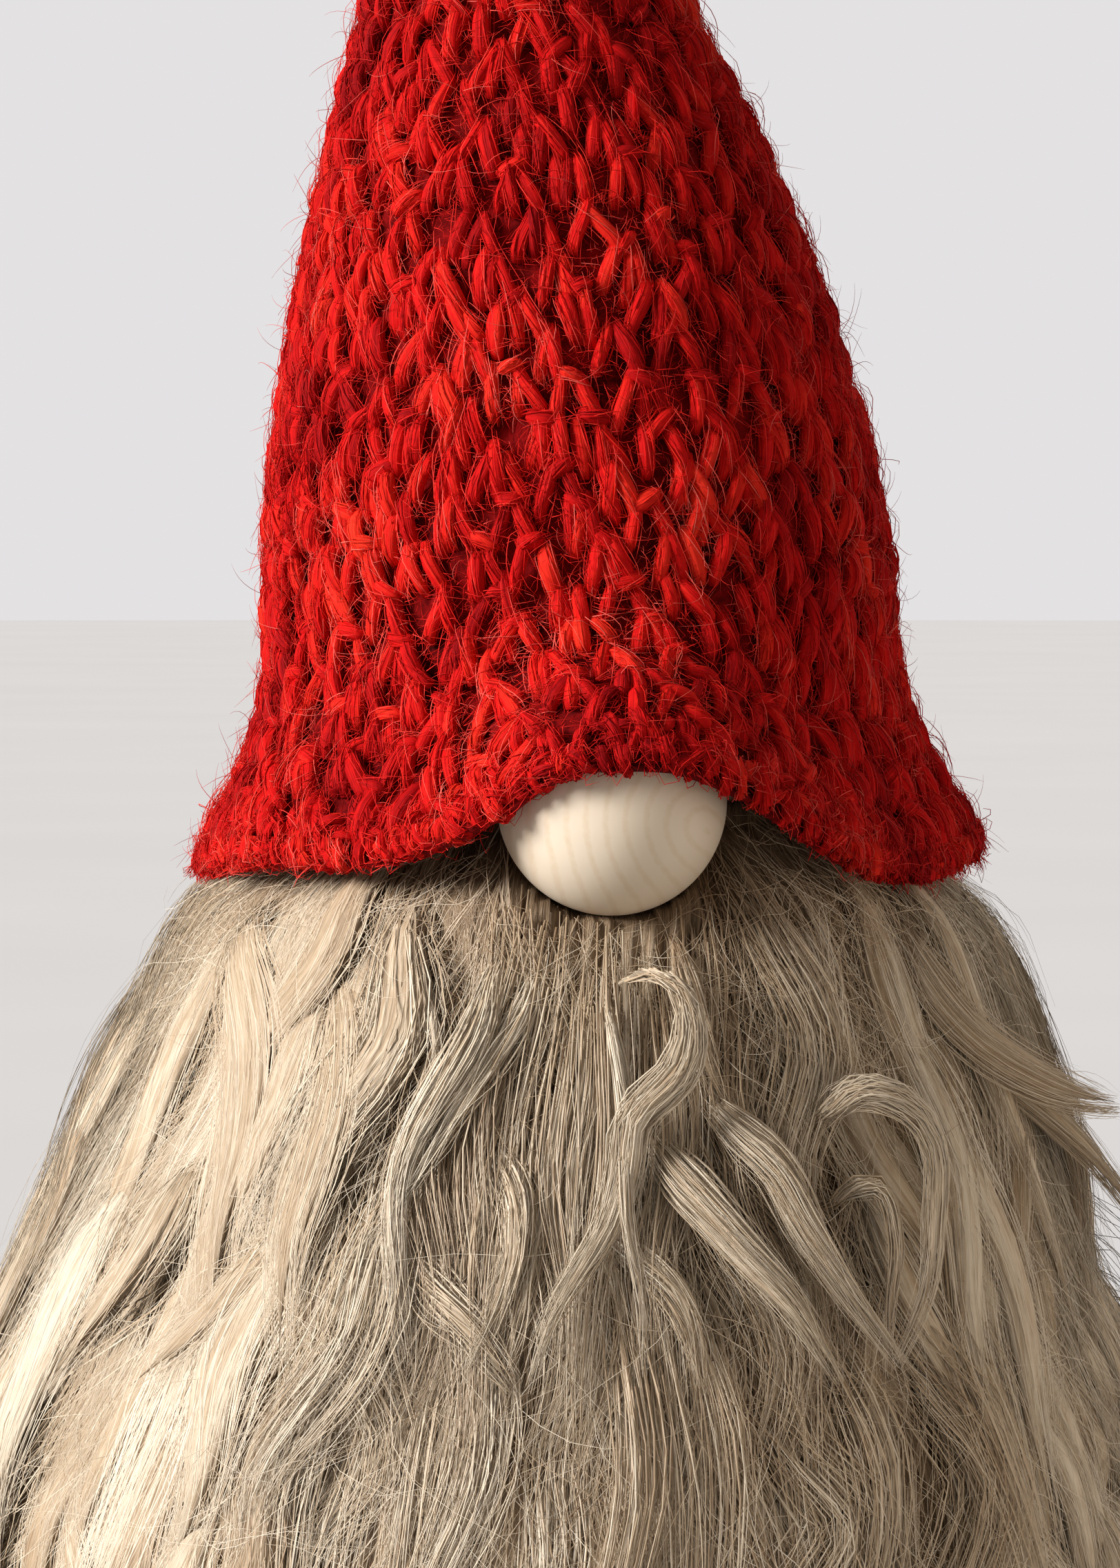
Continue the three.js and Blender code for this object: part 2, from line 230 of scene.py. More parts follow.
@dataclass(frozen=True)
class Spinner:
    """Turns centre lines into meshes of closed tubes, each tube with a patch of its own in the map."""

    sides: int = 3
    flatness: float = 1.0
    ridges: float = 0.0

    def tubes(
        self, name: str, strands: Strands, material: Material, lie: Array | None = None
    ) -> list[Object]:
        """Makes as many objects as the strands need.

        Args:
            name: The pieces' name, which gets a number where there are several.
            strands: The centre lines.
            material: The finish.
            lie: The direction that each tube's flat side faces, at each point.

        Returns:
            The objects.
        """
        count, steps = strands.radius.shape
        each = 2 * ((steps - 1) * self.sides + self.sides - 2)
        groups = max(1, math.ceil(count * each / MOST_TRIANGLES))
        made = []
        for number, picked in enumerate(np.array_split(np.arange(count), groups), 1):
            label = name if groups == 1 else f"{name}_{number}"
            mesh = self._mesh(label, strands.some(picked), None if lie is None else lie[picked])
            made.append(new_object(label, mesh, material))
        return made

    def _mesh(self, name: str, strands: Strands, lie: Array | None) -> bpy.types.Mesh:
        """Makes one mesh.

        Args:
            name: The mesh's name.
            strands: The centre lines.
            lie: The direction of the flat sides, or None for round tubes.

        Returns:
            The mesh, with tones and a map.
        """
        points, sides = strands.points, self.sides
        count, steps, _ = points.shape
        along = unit(np.gradient(points, axis=1))
        if lie is None:
            chord = unit(points[:, -1] - points[:, 0])
            spare = np.eye(3)[np.argmin(np.abs(chord), axis=1)]
            lie = np.broadcast_to(spare[:, None], points.shape)
        across = unit(np.cross(along, lie))
        up = np.cross(across, along)
        angle = 2 * math.pi * np.arange(sides) / sides - math.pi / 2
        rng = np.random.default_rng(count)
        ridge = 1 + self.ridges * rng.normal(size=(count, 1, sides, 1))
        ring = (
            np.cos(angle)[:, None] * across[:, :, None]
            + self.flatness * np.sin(angle)[:, None] * up[:, :, None]
        )
        shell = points[:, :, None] + strands.radius[:, :, None, None] * ridge * ring
        index = np.arange(count * steps * sides).reshape(count, steps, sides)
        low, high = index[:, :-1], index[:, 1:]
        quads = np.stack([low, high, np.roll(high, -1, 2), np.roll(low, -1, 2)], axis=-1).reshape(-1, 4)
        mesh = mesh_from(name, shell.reshape(-1, 3), [quads, index[:, 0], index[:, -1, ::-1]])
        set_tone(mesh, np.repeat(strands.tone.reshape(-1), sides))
        facing = mesh.attributes.new("facing", "FLOAT_VECTOR", "POINT")
        facing.data.foreach_set(
            "vector", np.repeat(lie.reshape(-1, 3), sides, axis=0).astype(np.float32).reshape(-1)
        )
        self._map(mesh, count, steps)
        self._flow(mesh, strands, rng)
        return mesh

    def _flow(self, mesh: bpy.types.Mesh, strands: Strands, rng: np.random.Generator) -> None:
        """Stores how far each corner lies round and along its tube, with a number for the tube.

        Args:
            mesh: The tubes' mesh.
            strands: The centre lines.
            rng: Source of random numbers.
        """
        sides = self.sides
        count, steps = strands.radius.shape
        gaps = np.linalg.norm(np.diff(strands.points, axis=1), axis=2)
        reach = np.concatenate([np.zeros((count, 1)), np.cumsum(gaps, axis=1)], axis=1)
        girth = 2 * math.pi * strands.radius.mean(axis=1)[:, None, None, None]
        step, side = grid_of(np.arange(steps - 1), np.arange(sides))
        corner = np.array([(0, 0), (0, 1), (1, 1), (1, 0)])
        around = girth * (side[..., None] + corner[:, 0]) / sides
        along = reach[:, step[..., None] + corner[:, 1]]
        mark = np.broadcast_to(rng.uniform(0, 500, (count, 1, 1, 1)), along.shape)
        wall = np.stack([around, along, mark], axis=-1).reshape(-1, 3)
        layer = mesh.attributes.new("flow", "FLOAT_VECTOR", "CORNER")
        layer.data.foreach_set(
            "vector", np.vstack([wall, np.zeros((2 * count * sides, 3))]).astype(np.float32).reshape(-1)
        )

    def _map(self, mesh: bpy.types.Mesh, count: int, steps: int) -> None:
        """Gives each tube its own patch of the map, with both end caps beside it.

        Args:
            mesh: The tubes' mesh.
            count: How many tubes it holds.
            steps: How many rings each tube has.
        """
        sides = self.sides
        columns = math.ceil(math.sqrt(count))
        rows = math.ceil(count / columns)
        cell = np.stack([np.arange(count) % columns, np.arange(count) // columns], axis=1).astype(float)
        step, side = grid_of(np.arange(steps - 1), np.arange(sides))
        corner = np.array([(0, 0), (0, 1), (1, 1), (1, 0)])
        u = 0.06 + 0.88 * (side[..., None] + corner[:, 0]) / sides
        v = 0.20 + 0.74 * (step[..., None] + corner[:, 1]) / (steps - 1)
        wall = np.stack([u, v], axis=-1).reshape(-1, 2)
        angle = 2 * math.pi * np.arange(sides) / sides
        disc = 0.05 * np.stack([np.cos(angle), np.sin(angle)], axis=1)
        parts = [wall, disc + (0.25, 0.08), disc + (0.75, 0.08)]
        grid = np.array([columns, rows], float)
        uv = np.concatenate([((cell[:, None] + part) / grid).reshape(-1, 2) for part in parts])
        layer = mesh.uv_layers.new(name="OFBake")
        layer.data.foreach_set("uv", uv.astype(np.float32).reshape(-1))


def shell_mesh(
    name: str, outer: Array, inner: Array, wrap: bool, tone: Array | None = None
) -> bpy.types.Mesh:
    """Joins an outer and an inner face to one closed skin.

    Args:
        name: The mesh's name.
        outer: Grid of places, turn by height, seen from outside.
        inner: The same grid on the inner face.
        wrap: Whether the grid closes on itself round the turn.
        tone: Tones of the outer grid, or None.

    Returns:
        The mesh.
    """
    turns, steps, _ = outer.shape
    index = np.arange(turns * steps).reshape(turns, steps)
    ring = np.vstack([index, index[:1]]) if wrap else index
    quads = np.stack([ring[:-1, :-1], ring[1:, :-1], ring[1:, 1:], ring[:-1, 1:]], axis=-1).reshape(-1, 4)
    back = index.size
    foot = np.stack([ring[1:, 0], ring[:-1, 0], ring[:-1, 0] + back, ring[1:, 0] + back], axis=-1)
    head = np.stack([ring[:-1, -1], ring[1:, -1], ring[1:, -1] + back, ring[:-1, -1] + back], axis=-1)
    faces = [quads, quads[:, ::-1] + back, foot, head]
    if not wrap:
        start, end = index[0], index[-1]
        faces.append(np.stack([start[:-1], start[1:], start[1:] + back, start[:-1] + back], axis=-1))
        faces.append(np.stack([end[1:], end[:-1], end[:-1] + back, end[1:] + back], axis=-1))
    mesh = mesh_from(name, np.vstack([outer.reshape(-1, 3), inner.reshape(-1, 3)]), faces)
    if tone is not None:
        set_tone(mesh, np.concatenate([tone.reshape(-1), np.zeros(tone.size)]))
    return mesh


def unshaded(pieces: list[Object]) -> list[Object]:
    """Lets light through fibres that are too fine to cast a shadow, and returns them."""
    for piece in pieces:
        piece.visible_shadow = False
    return pieces


def solid_mesh(name: str, grid: Array) -> bpy.types.Mesh:
    """Makes a closed solid from rings.

    Args:
        name: The mesh's name.
        grid: Places, turn by height, from the lowest ring to the highest.

    Returns:
        The mesh.
    """
    index = np.arange(grid.shape[0] * grid.shape[1]).reshape(grid.shape[:2])
    ring = np.vstack([index, index[:1]])
    quads = np.stack([ring[:-1, :-1], ring[1:, :-1], ring[1:, 1:], ring[:-1, 1:]], axis=-1).reshape(-1, 4)
    return mesh_from(name, grid.reshape(-1, 3), [quads, index[::-1, 0][None], index[:, -1][None]])


def set_flow(mesh: bpy.types.Mesh, flow: Array) -> None:
    """Stores each vertex's place in combed wool: across, along and a number, in millimetres."""
    layer = mesh.attributes.new("flow", "FLOAT_VECTOR", "POINT")
    layer.data.foreach_set("vector", flow.astype(np.float32).reshape(-1))


def face_area(grid: Array) -> float:
    """Returns the area of a grid of places in millimetres, in square metres."""
    across, along = grid[1:, :-1] - grid[:-1, :-1], grid[:-1, 1:] - grid[:-1, :-1]
    return float(np.linalg.norm(np.cross(across, along), axis=-1).sum()) * MM * MM


def swell(piece: Object, cap: float, voxel: float = 5.0) -> None:
    """Lets a padded piece swell by cloth simulation and keeps the result in its mesh.

    Args:
        piece: The padded piece.
        cap: The furthest that a point may move, in millimetres.
        voxel: The size of the even faces that it is simulated with.
    """

    def applied() -> None:
        """Keeps the modifiers' result."""
        shown = piece.evaluated_get(bpy.context.evaluated_depsgraph_get())
        mesh = bpy.data.meshes.new_from_object(shown)
        piece.modifiers.clear()
        piece.data = mesh

    def places() -> Array:
        """Returns the points of the mesh as it is shown."""
        mesh = piece.evaluated_get(bpy.context.evaluated_depsgraph_get()).data
        spots = np.empty(3 * len(mesh.vertices), np.float32)
        mesh.vertices.foreach_get("co", spots)
        return spots.reshape(-1, 3)

    even = piece.modifiers.new("even", "REMESH")
    even.mode = "VOXEL"
    even.voxel_size = voxel * MM
    applied()
    start = places()
    cloth = piece.modifiers.new("cloth", "CLOTH").settings
    cloth.use_pressure = True
    cloth.uniform_pressure_force = 4.0
    cloth.effector_weights.gravity = 0.0
    for frame_number in range(1, 21):
        bpy.context.scene.frame_set(frame_number)
    moved = places() - start
    length = np.linalg.norm(moved, axis=1, keepdims=True)
    bpy.context.scene.frame_set(1)
    piece.modifiers.clear()
    held = start + moved * np.minimum(1, cap * MM / np.maximum(length, 1e-9))
    piece.data.vertices.foreach_set("co", held.reshape(-1))
    piece.modifiers.new("fine", "SUBSURF").levels = 1
    applied()
    piece.data.polygons.foreach_set("use_smooth", np.ones(len(piece.data.polygons), bool))


def kept_in(piece: Object, low: Array, high: Array, radius: float) -> None:
    """Presses a piece's points into the space that it has, in millimetres."""
    spots = np.empty(3 * len(piece.data.vertices), np.float32)
    piece.data.vertices.foreach_get("co", spots)
    spots = spots.reshape(-1, 3) / MM
    out = np.hypot(spots[:, 0], spots[:, 1])[:, None]
    spots[:, :2] *= np.minimum(1, radius / np.maximum(out, 1e-6))
    piece.data.vertices.foreach_set("co", (np.clip(spots, low, high) * MM).astype(np.float32).reshape(-1))
    piece.data.update()


def dress(node: str, material: Material) -> Object:
    """Gives a CAD part its finish and returns the part."""
    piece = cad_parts[node]
    if not piece.material_slots:
        piece.data.materials.append(material)
    piece.material_slots[0].material = material
    return piece


# ---------------------------------------------------------------- finishes


class Graph:
    """A node tree, with short calls to add and link nodes."""

    def __init__(self, tree: bpy.types.NodeTree) -> None:
        """Keeps the tree."""
        self.tree = tree

    def add(self, kind: str, values: dict | None = None, **settings: object) -> bpy.types.Node:
        """Adds a node.

        Args:
            kind: The node's type.
            values: Its input sockets by name or number: a link's source socket or a plain value.
            settings: Its own properties.

        Returns:
            The node.
        """
        node = self.tree.nodes.new(kind)
        for key, setting in settings.items():
            setattr(node, key, setting)
        return self.feed(node, values or {})

    def feed(self, node: bpy.types.Node, values: dict) -> bpy.types.Node:
        """Fills a node's input sockets.

        Args:
            node: The node.
            values: The sockets by name or number: a link's source socket, a plain value or a colour.

        Returns:
            The node.
        """
        for key, value in values.items():
            socket = node.inputs[key]
            if isinstance(value, bpy.types.NodeSocket):
                self.tree.links.new(value, socket)
            elif socket.type == "RGBA" and len(value) == 3:
                socket.default_value = (*value, 1)
            else:
                socket.default_value = value
        return node

    def ramp(self, factor: bpy.types.NodeSocket, stops: list[tuple[float, Colour]]) -> bpy.types.NodeSocket:
        """Adds a colour ramp.

        Args:
            factor: What it reads.
            stops: Places and colours, in rising order.

        Returns:
            Its colour.
        """
        node = self.add("ShaderNodeValToRGB", {"Fac": factor})
        band = node.color_ramp.elements
        while len(band) < len(stops):
            band.new(0.5)
        for element, (place, colour) in zip(band, stops):
            element.position = place
            element.color = (*colour, 1)
        return node.outputs["Color"]

    def maths(
        self, operation: str, first: object, second: object, clamp: bool = False
    ) -> bpy.types.NodeSocket:
        """Adds a sum of two values and returns its result."""
        node = self.add("ShaderNodeMath", {0: first, 1: second}, operation=operation, use_clamp=clamp)
        return node.outputs[0]

    def mixed(self, factor: object, first: object, second: object) -> bpy.types.NodeSocket:
        """Adds a mix of two colours and returns it."""
        return self.add("ShaderNodeMix", {0: factor, 6: first, 7: second}, data_type="RGBA").outputs[2]


def new_group(name: str, inputs: dict[str, object], outputs: dict[str, str]) -> tuple[Graph, dict, dict]:
    """Starts a shader node group.

    Args:
        name: The group's name.
        inputs: Each input's name and plain value: a number or a colour.
        outputs: Each output's name and kind of socket.

    Returns:
        The group's graph, its input sockets and its output sockets.
    """
    tree = bpy.data.node_groups.new(name, "ShaderNodeTree")
    for label, value in inputs.items():
        kind = "NodeSocketFloat" if isinstance(value, (int, float)) else "NodeSocketColor"
        socket = tree.interface.new_socket(label, in_out="INPUT", socket_type=kind)
        socket.default_value = value if isinstance(value, (int, float)) else (*value, 1)
    for label, kind in outputs.items():
        tree.interface.new_socket(label, in_out="OUTPUT", socket_type=kind)
    source = tree.nodes.new("NodeGroupInput")
    target = tree.nodes.new("NodeGroupOutput")
    given = {socket.name: socket for socket in source.outputs if socket.name}
    return Graph(tree), given, {socket.name: socket for socket in target.inputs if socket.name}


class Effect(Enum):
    """The effects that several finishes share."""

    FIBRE_TONE = "fibre tone"
    NAP = "wool nap"
    GRAIN = "wood grain"
    STREAK = "combed streaks"

    def group(self) -> bpy.types.NodeTree:
        """Returns the effect's node group, which is built once."""
        makers = {Effect.FIBRE_TONE: fibre_tone_group, Effect.NAP: nap_group, Effect.GRAIN: grain_group,
                  Effect.STREAK: streak_group}
        return bpy.data.node_groups.get(self.value) or makers[self]()

    def placed(self, graph: Graph, values: dict) -> bpy.types.Node:
        """Places the effect in a material.

        Args:
            graph: The material's graph.
            values: The group's inputs.

        Returns:
            The group node.
        """
        return graph.add("ShaderNodeGroup", values, node_tree=self.group())


def fibre_tone_group() -> bpy.types.NodeTree:
    """Builds the colour of dyed or grown fibres: deep, middle and light, with flecks."""
    graph, given, out = new_group(
        Effect.FIBRE_TONE.value,
        {"Tone": 0.5, "Deep": (0.1, 0.1, 0.1), "Middle": (0.4, 0.4, 0.4), "Light": (0.8, 0.8, 0.8),
         "Fleck": 0.2, "Fleck Scale": 900.0},
        {"Color": "NodeSocketColor"},
    )
    place = graph.add("ShaderNodeTexCoord").outputs["Object"]
    noise = graph.add("ShaderNodeTexNoise", {"Vector": place, "Scale": given["Fleck Scale"], "Detail": 2.0})
    swing = graph.maths("SUBTRACT", noise.outputs["Fac"], 0.5)
    scaled = graph.maths("MULTIPLY", swing, given["Fleck"])
    tone = graph.maths("ADD", given["Tone"], scaled, clamp=True)
    lower = graph.maths("MULTIPLY", tone, 2.0, clamp=True)
    upper = graph.maths("MULTIPLY", graph.maths("SUBTRACT", tone, 0.5), 2.0, clamp=True)
    start = graph.mixed(lower, given["Deep"], given["Middle"])
    graph.tree.links.new(graph.mixed(upper, start, given["Light"]), out["Color"])
    return graph.tree


def nap_group() -> bpy.types.NodeTree:
    """Builds the nap of felted wool: tangled short fibres as a height and a mask."""
    graph, given, out = new_group(
        Effect.NAP.value,
        {"Scale": 700.0, "Tangle": 1.5},
        {"Height": "NodeSocketFloat", "Mask": "NodeSocketFloat"},
    )
    place = graph.add("ShaderNodeTexCoord").outputs["Object"]
    fine = graph.add(
        "ShaderNodeTexNoise",
        {
            "Vector": place, "Scale": given["Scale"], "Detail": 4.0, "Roughness": 0.65,
            "Distortion": given["Tangle"],
        },
    )
    coarse = graph.add("ShaderNodeTexNoise", {"Vector": place, "Scale": 90.0, "Detail": 3.0})
    graph.tree.links.new(fine.outputs["Fac"], out["Height"])
    graph.tree.links.new(coarse.outputs["Fac"], out["Mask"])
    return graph.tree


def grain_group() -> bpy.types.NodeTree:
    """Builds wood grain: growth rings about a tilted pith, and fine pores along it."""
    graph, given, out = new_group(
        Effect.GRAIN.value,
        {"Ring Scale": 120.0, "Wander": 2.0, "Pore Scale": 1200.0},
        {"Rings": "NodeSocketFloat", "Pores": "NodeSocketFloat"},
    )
    place = graph.add("ShaderNodeTexCoord").outputs["Object"]
    turned = graph.add(
        "ShaderNodeMapping",
        {"Vector": place, "Rotation": (-1.35, 0.12, 0.0), "Location": (-0.025, -0.143, 0.0)}
    )
    rings = graph.add(
        "ShaderNodeTexWave",
        {"Vector": turned.outputs[0], "Scale": given["Ring Scale"], "Distortion": given["Wander"],
         "Detail": 2.0, "Detail Scale": 0.6},
        wave_type="RINGS",
        rings_direction="Z",
    )
    drawn = graph.add("ShaderNodeMapping", {"Vector": turned.outputs[0], "Scale": (1.0, 1.0, 0.06)})
    pores = graph.add(
        "ShaderNodeTexNoise", {"Vector": drawn.outputs[0], "Scale": given["Pore Scale"], "Detail": 3.0}
    )
    graph.tree.links.new(rings.outputs["Fac"], out["Rings"])
    graph.tree.links.new(pores.outputs["Fac"], out["Pores"])
    return graph.tree


def streak_group() -> bpy.types.NodeTree:
    """Builds streaks that run along combed fibres, fine ones and those of small bundles."""
    graph, given, out = new_group(
        Effect.STREAK.value,
        {"Detail": 3.0},
        {"Fine": "NodeSocketFloat", "Bundle": "NodeSocketFloat"},
    )
    flow = graph.add("ShaderNodeAttribute", attribute_name="flow").outputs["Vector"]
    for label, scale in (("Fine", (3.4, 0.10, 1.0)), ("Bundle", (0.75, 0.035, 1.0))):
        drawn = graph.add("ShaderNodeMapping", {"Vector": flow, "Scale": scale})
        noise = graph.add(
            "ShaderNodeTexNoise", {"Vector": drawn.outputs[0], "Scale": 1.0, "Detail": given["Detail"]}
        )
        graph.tree.links.new(noise.outputs["Fac"], out[label])
    return graph.tree


def start_material(name: str) -> tuple[Material, Graph, bpy.types.Node]:
    """Starts a material.

    Args:
        name: The finish's name.

    Returns:
        The material, its graph and its main shader.
    """
    material = bpy.data.materials.new(name)
    material.use_nodes = True
    return material, Graph(material.node_tree), material.node_tree.nodes["Principled BSDF"]


@dataclass(frozen=True)
class FibreFinish:
    """Single fibres, coloured by the tone that each one carries."""

    name: str
    deep: Colour
    middle: Colour
    light: Colour
    roughness: float = 0.55
    shine: float = 0.4
    fleck: float = 0.25
    fleck_scale: float = 900.0
    sheen: float = 0.0
    streak: float = 0.0
    streak_depth: float = 0.0001
    softness: float = 0.0

    def material(self) -> Material:
        """Returns the material."""
        material, graph, shader = start_material(self.name)
        tone = graph.add("ShaderNodeAttribute", attribute_name="tone").outputs["Fac"]
        normal = graph.add("ShaderNodeNewGeometry").outputs["Normal"]
        if self.softness:
            facing = graph.add("ShaderNodeAttribute", attribute_name="facing").outputs["Vector"]
            blend = graph.add("ShaderNodeMix", {0: self.softness, 4: normal, 5: facing}, data_type="VECTOR")
            normal = graph.add(
                "ShaderNodeVectorMath", {0: blend.outputs[1]}, operation="NORMALIZE"
            ).outputs[0]
        if self.streak:
            combed = Effect.STREAK.placed(graph, {})
            both = graph.maths("ADD", combed.outputs["Fine"], combed.outputs["Bundle"])
            swing = graph.maths("MULTIPLY", graph.maths("SUBTRACT", both, 1.0), self.streak)
            tone = graph.maths("ADD", tone, swing)
            bump = graph.add(
                "ShaderNodeBump",
                {"Height": both, "Strength": 0.9, "Distance": self.streak_depth, "Normal": normal},
            )
            normal = bump.outputs["Normal"]
        colour = Effect.FIBRE_TONE.placed(
            graph,
            {"Tone": tone, "Deep": self.deep, "Middle": self.middle, "Light": self.light,
             "Fleck": self.fleck, "Fleck Scale": self.fleck_scale},
        )
        finish = {"Base Color": colour.outputs["Color"], "Roughness": self.roughness}
        graph.feed(shader, {**finish, "Specular IOR Level": self.shine, "Sheen Weight": self.sheen})
        if self.softness or self.streak:
            graph.feed(shader, {"Normal": normal})
        return material


@dataclass(frozen=True)
class FeltFinish:
    """Felted or pressed wool: a soft nap over two tones."""

    name: str
    deep: Colour
    light: Colour
    nap_scale: float = 700.0
    bump: float = 0.4
    bump_depth: float = 0.0006
    roughness: float = 0.9
    sheen: float = 0.0

    def material(self) -> Material:
        """Returns the material."""
        material, graph, shader = start_material(self.name)
        nap = Effect.NAP.placed(graph, {"Scale": self.nap_scale})
        both = graph.maths("ADD", nap.outputs["Height"], nap.outputs["Mask"])
        tone = graph.maths("MULTIPLY", both, 0.5)
        colour = graph.ramp(tone, [(0.36, self.deep), (0.64, self.light)])
        bump = graph.add(
            "ShaderNodeBump",
            {"Height": nap.outputs["Height"], "Strength": self.bump, "Distance": self.bump_depth},
        )
        finish = {"Base Color": colour, "Roughness": self.roughness, "Normal": bump.outputs["Normal"]}
        graph.feed(shader, {**finish, "Specular IOR Level": 0.12, "Sheen Weight": self.sheen})
        return material


@dataclass(frozen=True)
class WoodFinish:
    """Sanded wood with growth rings and pores."""

    name: str
    early: Colour
    late: Colour
    ring_scale: float
    wander: float
    roughness: float
    coat: float
    pore_depth: float = 0.00004

    def material(self) -> Material:
        """Returns the material."""
        material, graph, shader = start_material(self.name)
        grain = Effect.GRAIN.placed(graph, {"Ring Scale": self.ring_scale, "Wander": self.wander})
        rings, pores = grain.outputs["Rings"], grain.outputs["Pores"]
        shade = graph.maths("ADD", graph.maths("MULTIPLY", rings, 0.6), graph.maths("MULTIPLY", pores, 0.4))
        colour = graph.ramp(shade, [(0.10, self.late), (0.42, self.early)])
        rough = graph.add(
            "ShaderNodeMapRange", {"Value": pores, "To Min": self.roughness, "To Max": self.roughness + 0.12}
        )
        bump = graph.add("ShaderNodeBump", {"Height": pores, "Strength": 0.25, "Distance": self.pore_depth})
        finish = {"Base Color": colour, "Roughness": rough.outputs[0], "Normal": bump.outputs["Normal"]}
        graph.feed(shader, {**finish, "Coat Weight": self.coat, "Coat Roughness": 0.3})
        return material


@dataclass(frozen=True)
class ZincFinish:
    """Zinc plated steel with a faint cloudy bloom."""

    name: str
    colour: Colour
    roughness: float

    def material(self) -> Material:
        """Returns the material."""
        material, graph, shader = start_material(self.name)
        nap = Effect.NAP.placed(graph, {"Scale": 260.0, "Tangle": 0.3})
        colour = graph.ramp(
            nap.outputs["Height"], [(0.3, tuple(0.8 * c for c in self.colour)), (0.7, self.colour)]
        )
        rough = graph.add(
            "ShaderNodeMapRange",
            {"Value": nap.outputs["Mask"], "To Min": self.roughness, "To Max": self.roughness + 0.2},
        )
        graph.feed(shader, {"Base Color": colour, "Roughness": rough.outputs[0], "Metallic": 1.0})
        return material


# ---------------------------------------------------------------- forms


@dataclass(frozen=True)
class Ball:
    """The wooden nose's place and size, in millimetres."""

    x: float
    y: float
    z: float
    radius: float

    @classmethod
    def of_node(cls, node: str) -> "Ball":
        """Returns the ball that a CAD node is."""
        low, high = (np.array(corner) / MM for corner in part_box(node))
        middle = (low + high) / 2
        return cls(*middle, float(high[0] - low[0]) / 2)


@dataclass(frozen=True)
class HatForm:
    """The hat's outer face: a bell with a waved brim that arches over the nose, and a leaning point."""

    ball: Ball
    rise: float
    brim_drop: float = 12.0
    brim_radius: float = 64.0
    waist_radius: float = 50.4
    crown_radius: float = 48.6
    shoulder_radius: float = 39.6
    tip_radius: float = 7.5
    lean: float = 20.0
    arch_rise: float = 18.0
    arch_push: float = 12.0
    arch_turn: float = math.radians(25)
    wave: float = 1.4
    waves: int = 5
    flare_top: float = 36.0
    wall: float = 3.5
    nose_ease: float = 2.0

    @cached_property
    def outline(self) -> Array:
        """Columns of length along the wall, radius and rise, from below the brim to the point."""
        flare = self.brim_radius - self.waist_radius
        knots = [
            (self.brim_radius, -self.brim_drop),
            (self.waist_radius + flare / 2, 1),
            (self.waist_radius + 2, 11),
            (self.waist_radius, 22),
            (self.crown_radius, 48),
            (self.shoulder_radius, 0.47 * self.rise),
            ((self.shoulder_radius + self.tip_radius) / 2, 0.71 * self.rise),
            (self.tip_radius, 0.93 * self.rise),
            (0, self.rise),
        ]
        line = smooth_line(knots, 240)
        line = np.vstack([4 * line[0] - 3 * line[1], line])
        reach = np.cumsum(np.append(0, np.linalg.norm(np.diff(line, axis=0), axis=1)))
        return np.column_stack([reach - reach[1], line])

    @property
    def length(self) -> float:
        """The length of the wall from the brim's edge to the point."""
        return float(self.outline[-1, 0])

    def girth(self, along: Array) -> Array:
        """Returns the hat's radius at a length along the wall."""
        return np.interp(along, self.outline[:, 0], self.outline[:, 1])

    def face(self, turn: Array, along: Array) -> Array:
        """Finds points on the outer face.

        Args:
            turn: Angle round the hat, 0 at the front.
            along: Length up the wall from the brim's edge.

        Returns:
            Places in millimetres.
        """
        radius = np.interp(along, self.outline[:, 0], self.outline[:, 1])
        rise = np.interp(along, self.outline[:, 0], self.outline[:, 2])
        turn = (turn + math.pi) % (2 * math.pi) - math.pi
        droop = 1 - ease(rise, -self.brim_drop, self.flare_top)
        arch = np.exp(-((turn / self.arch_turn) ** 2))
        wave = self.wave * np.sin(self.waves * turn)
        radius = radius * (1 + droop * (self.arch_push * arch + wave) / self.brim_radius)
        x = radius * np.sin(turn)
        y = -radius * np.cos(turn)
        z = rise + droop * (self.arch_rise * arch + wave)
        off = np.hypot(x, z)
        reach = self.ball.radius + self.nose_ease + self.wall
        over = (off < reach) & (y < 0)
        guard = self.ball.y - np.sqrt(np.maximum(reach**2 - off**2, 0))
        y = np.where(over, np.minimum(y, guard), y)
        x = x - self.lean * (np.maximum(rise, 0) / self.rise) ** 2
        return np.stack([x, y, z + self.ball.z], axis=-1)

    def normal(self, turn: Array, along: Array) -> Array:
        """Returns the outward directions at points of the face."""
        step = 0.4
        bend = step / np.maximum(self.girth(along), 2.0)
        round_way = self.face(turn + bend, along) - self.face(turn - bend, along)
        up_way = self.face(turn, along + step) - self.face(turn, along - step)
        return unit(np.cross(round_way, up_way))

    def place(self, turn: Array, along: Array, out: Array) -> Array:
        """Returns points that stand off the face by out."""
        out = np.asarray(out, float)
        return self.face(turn, along) + out[..., None] * self.normal(turn, along)


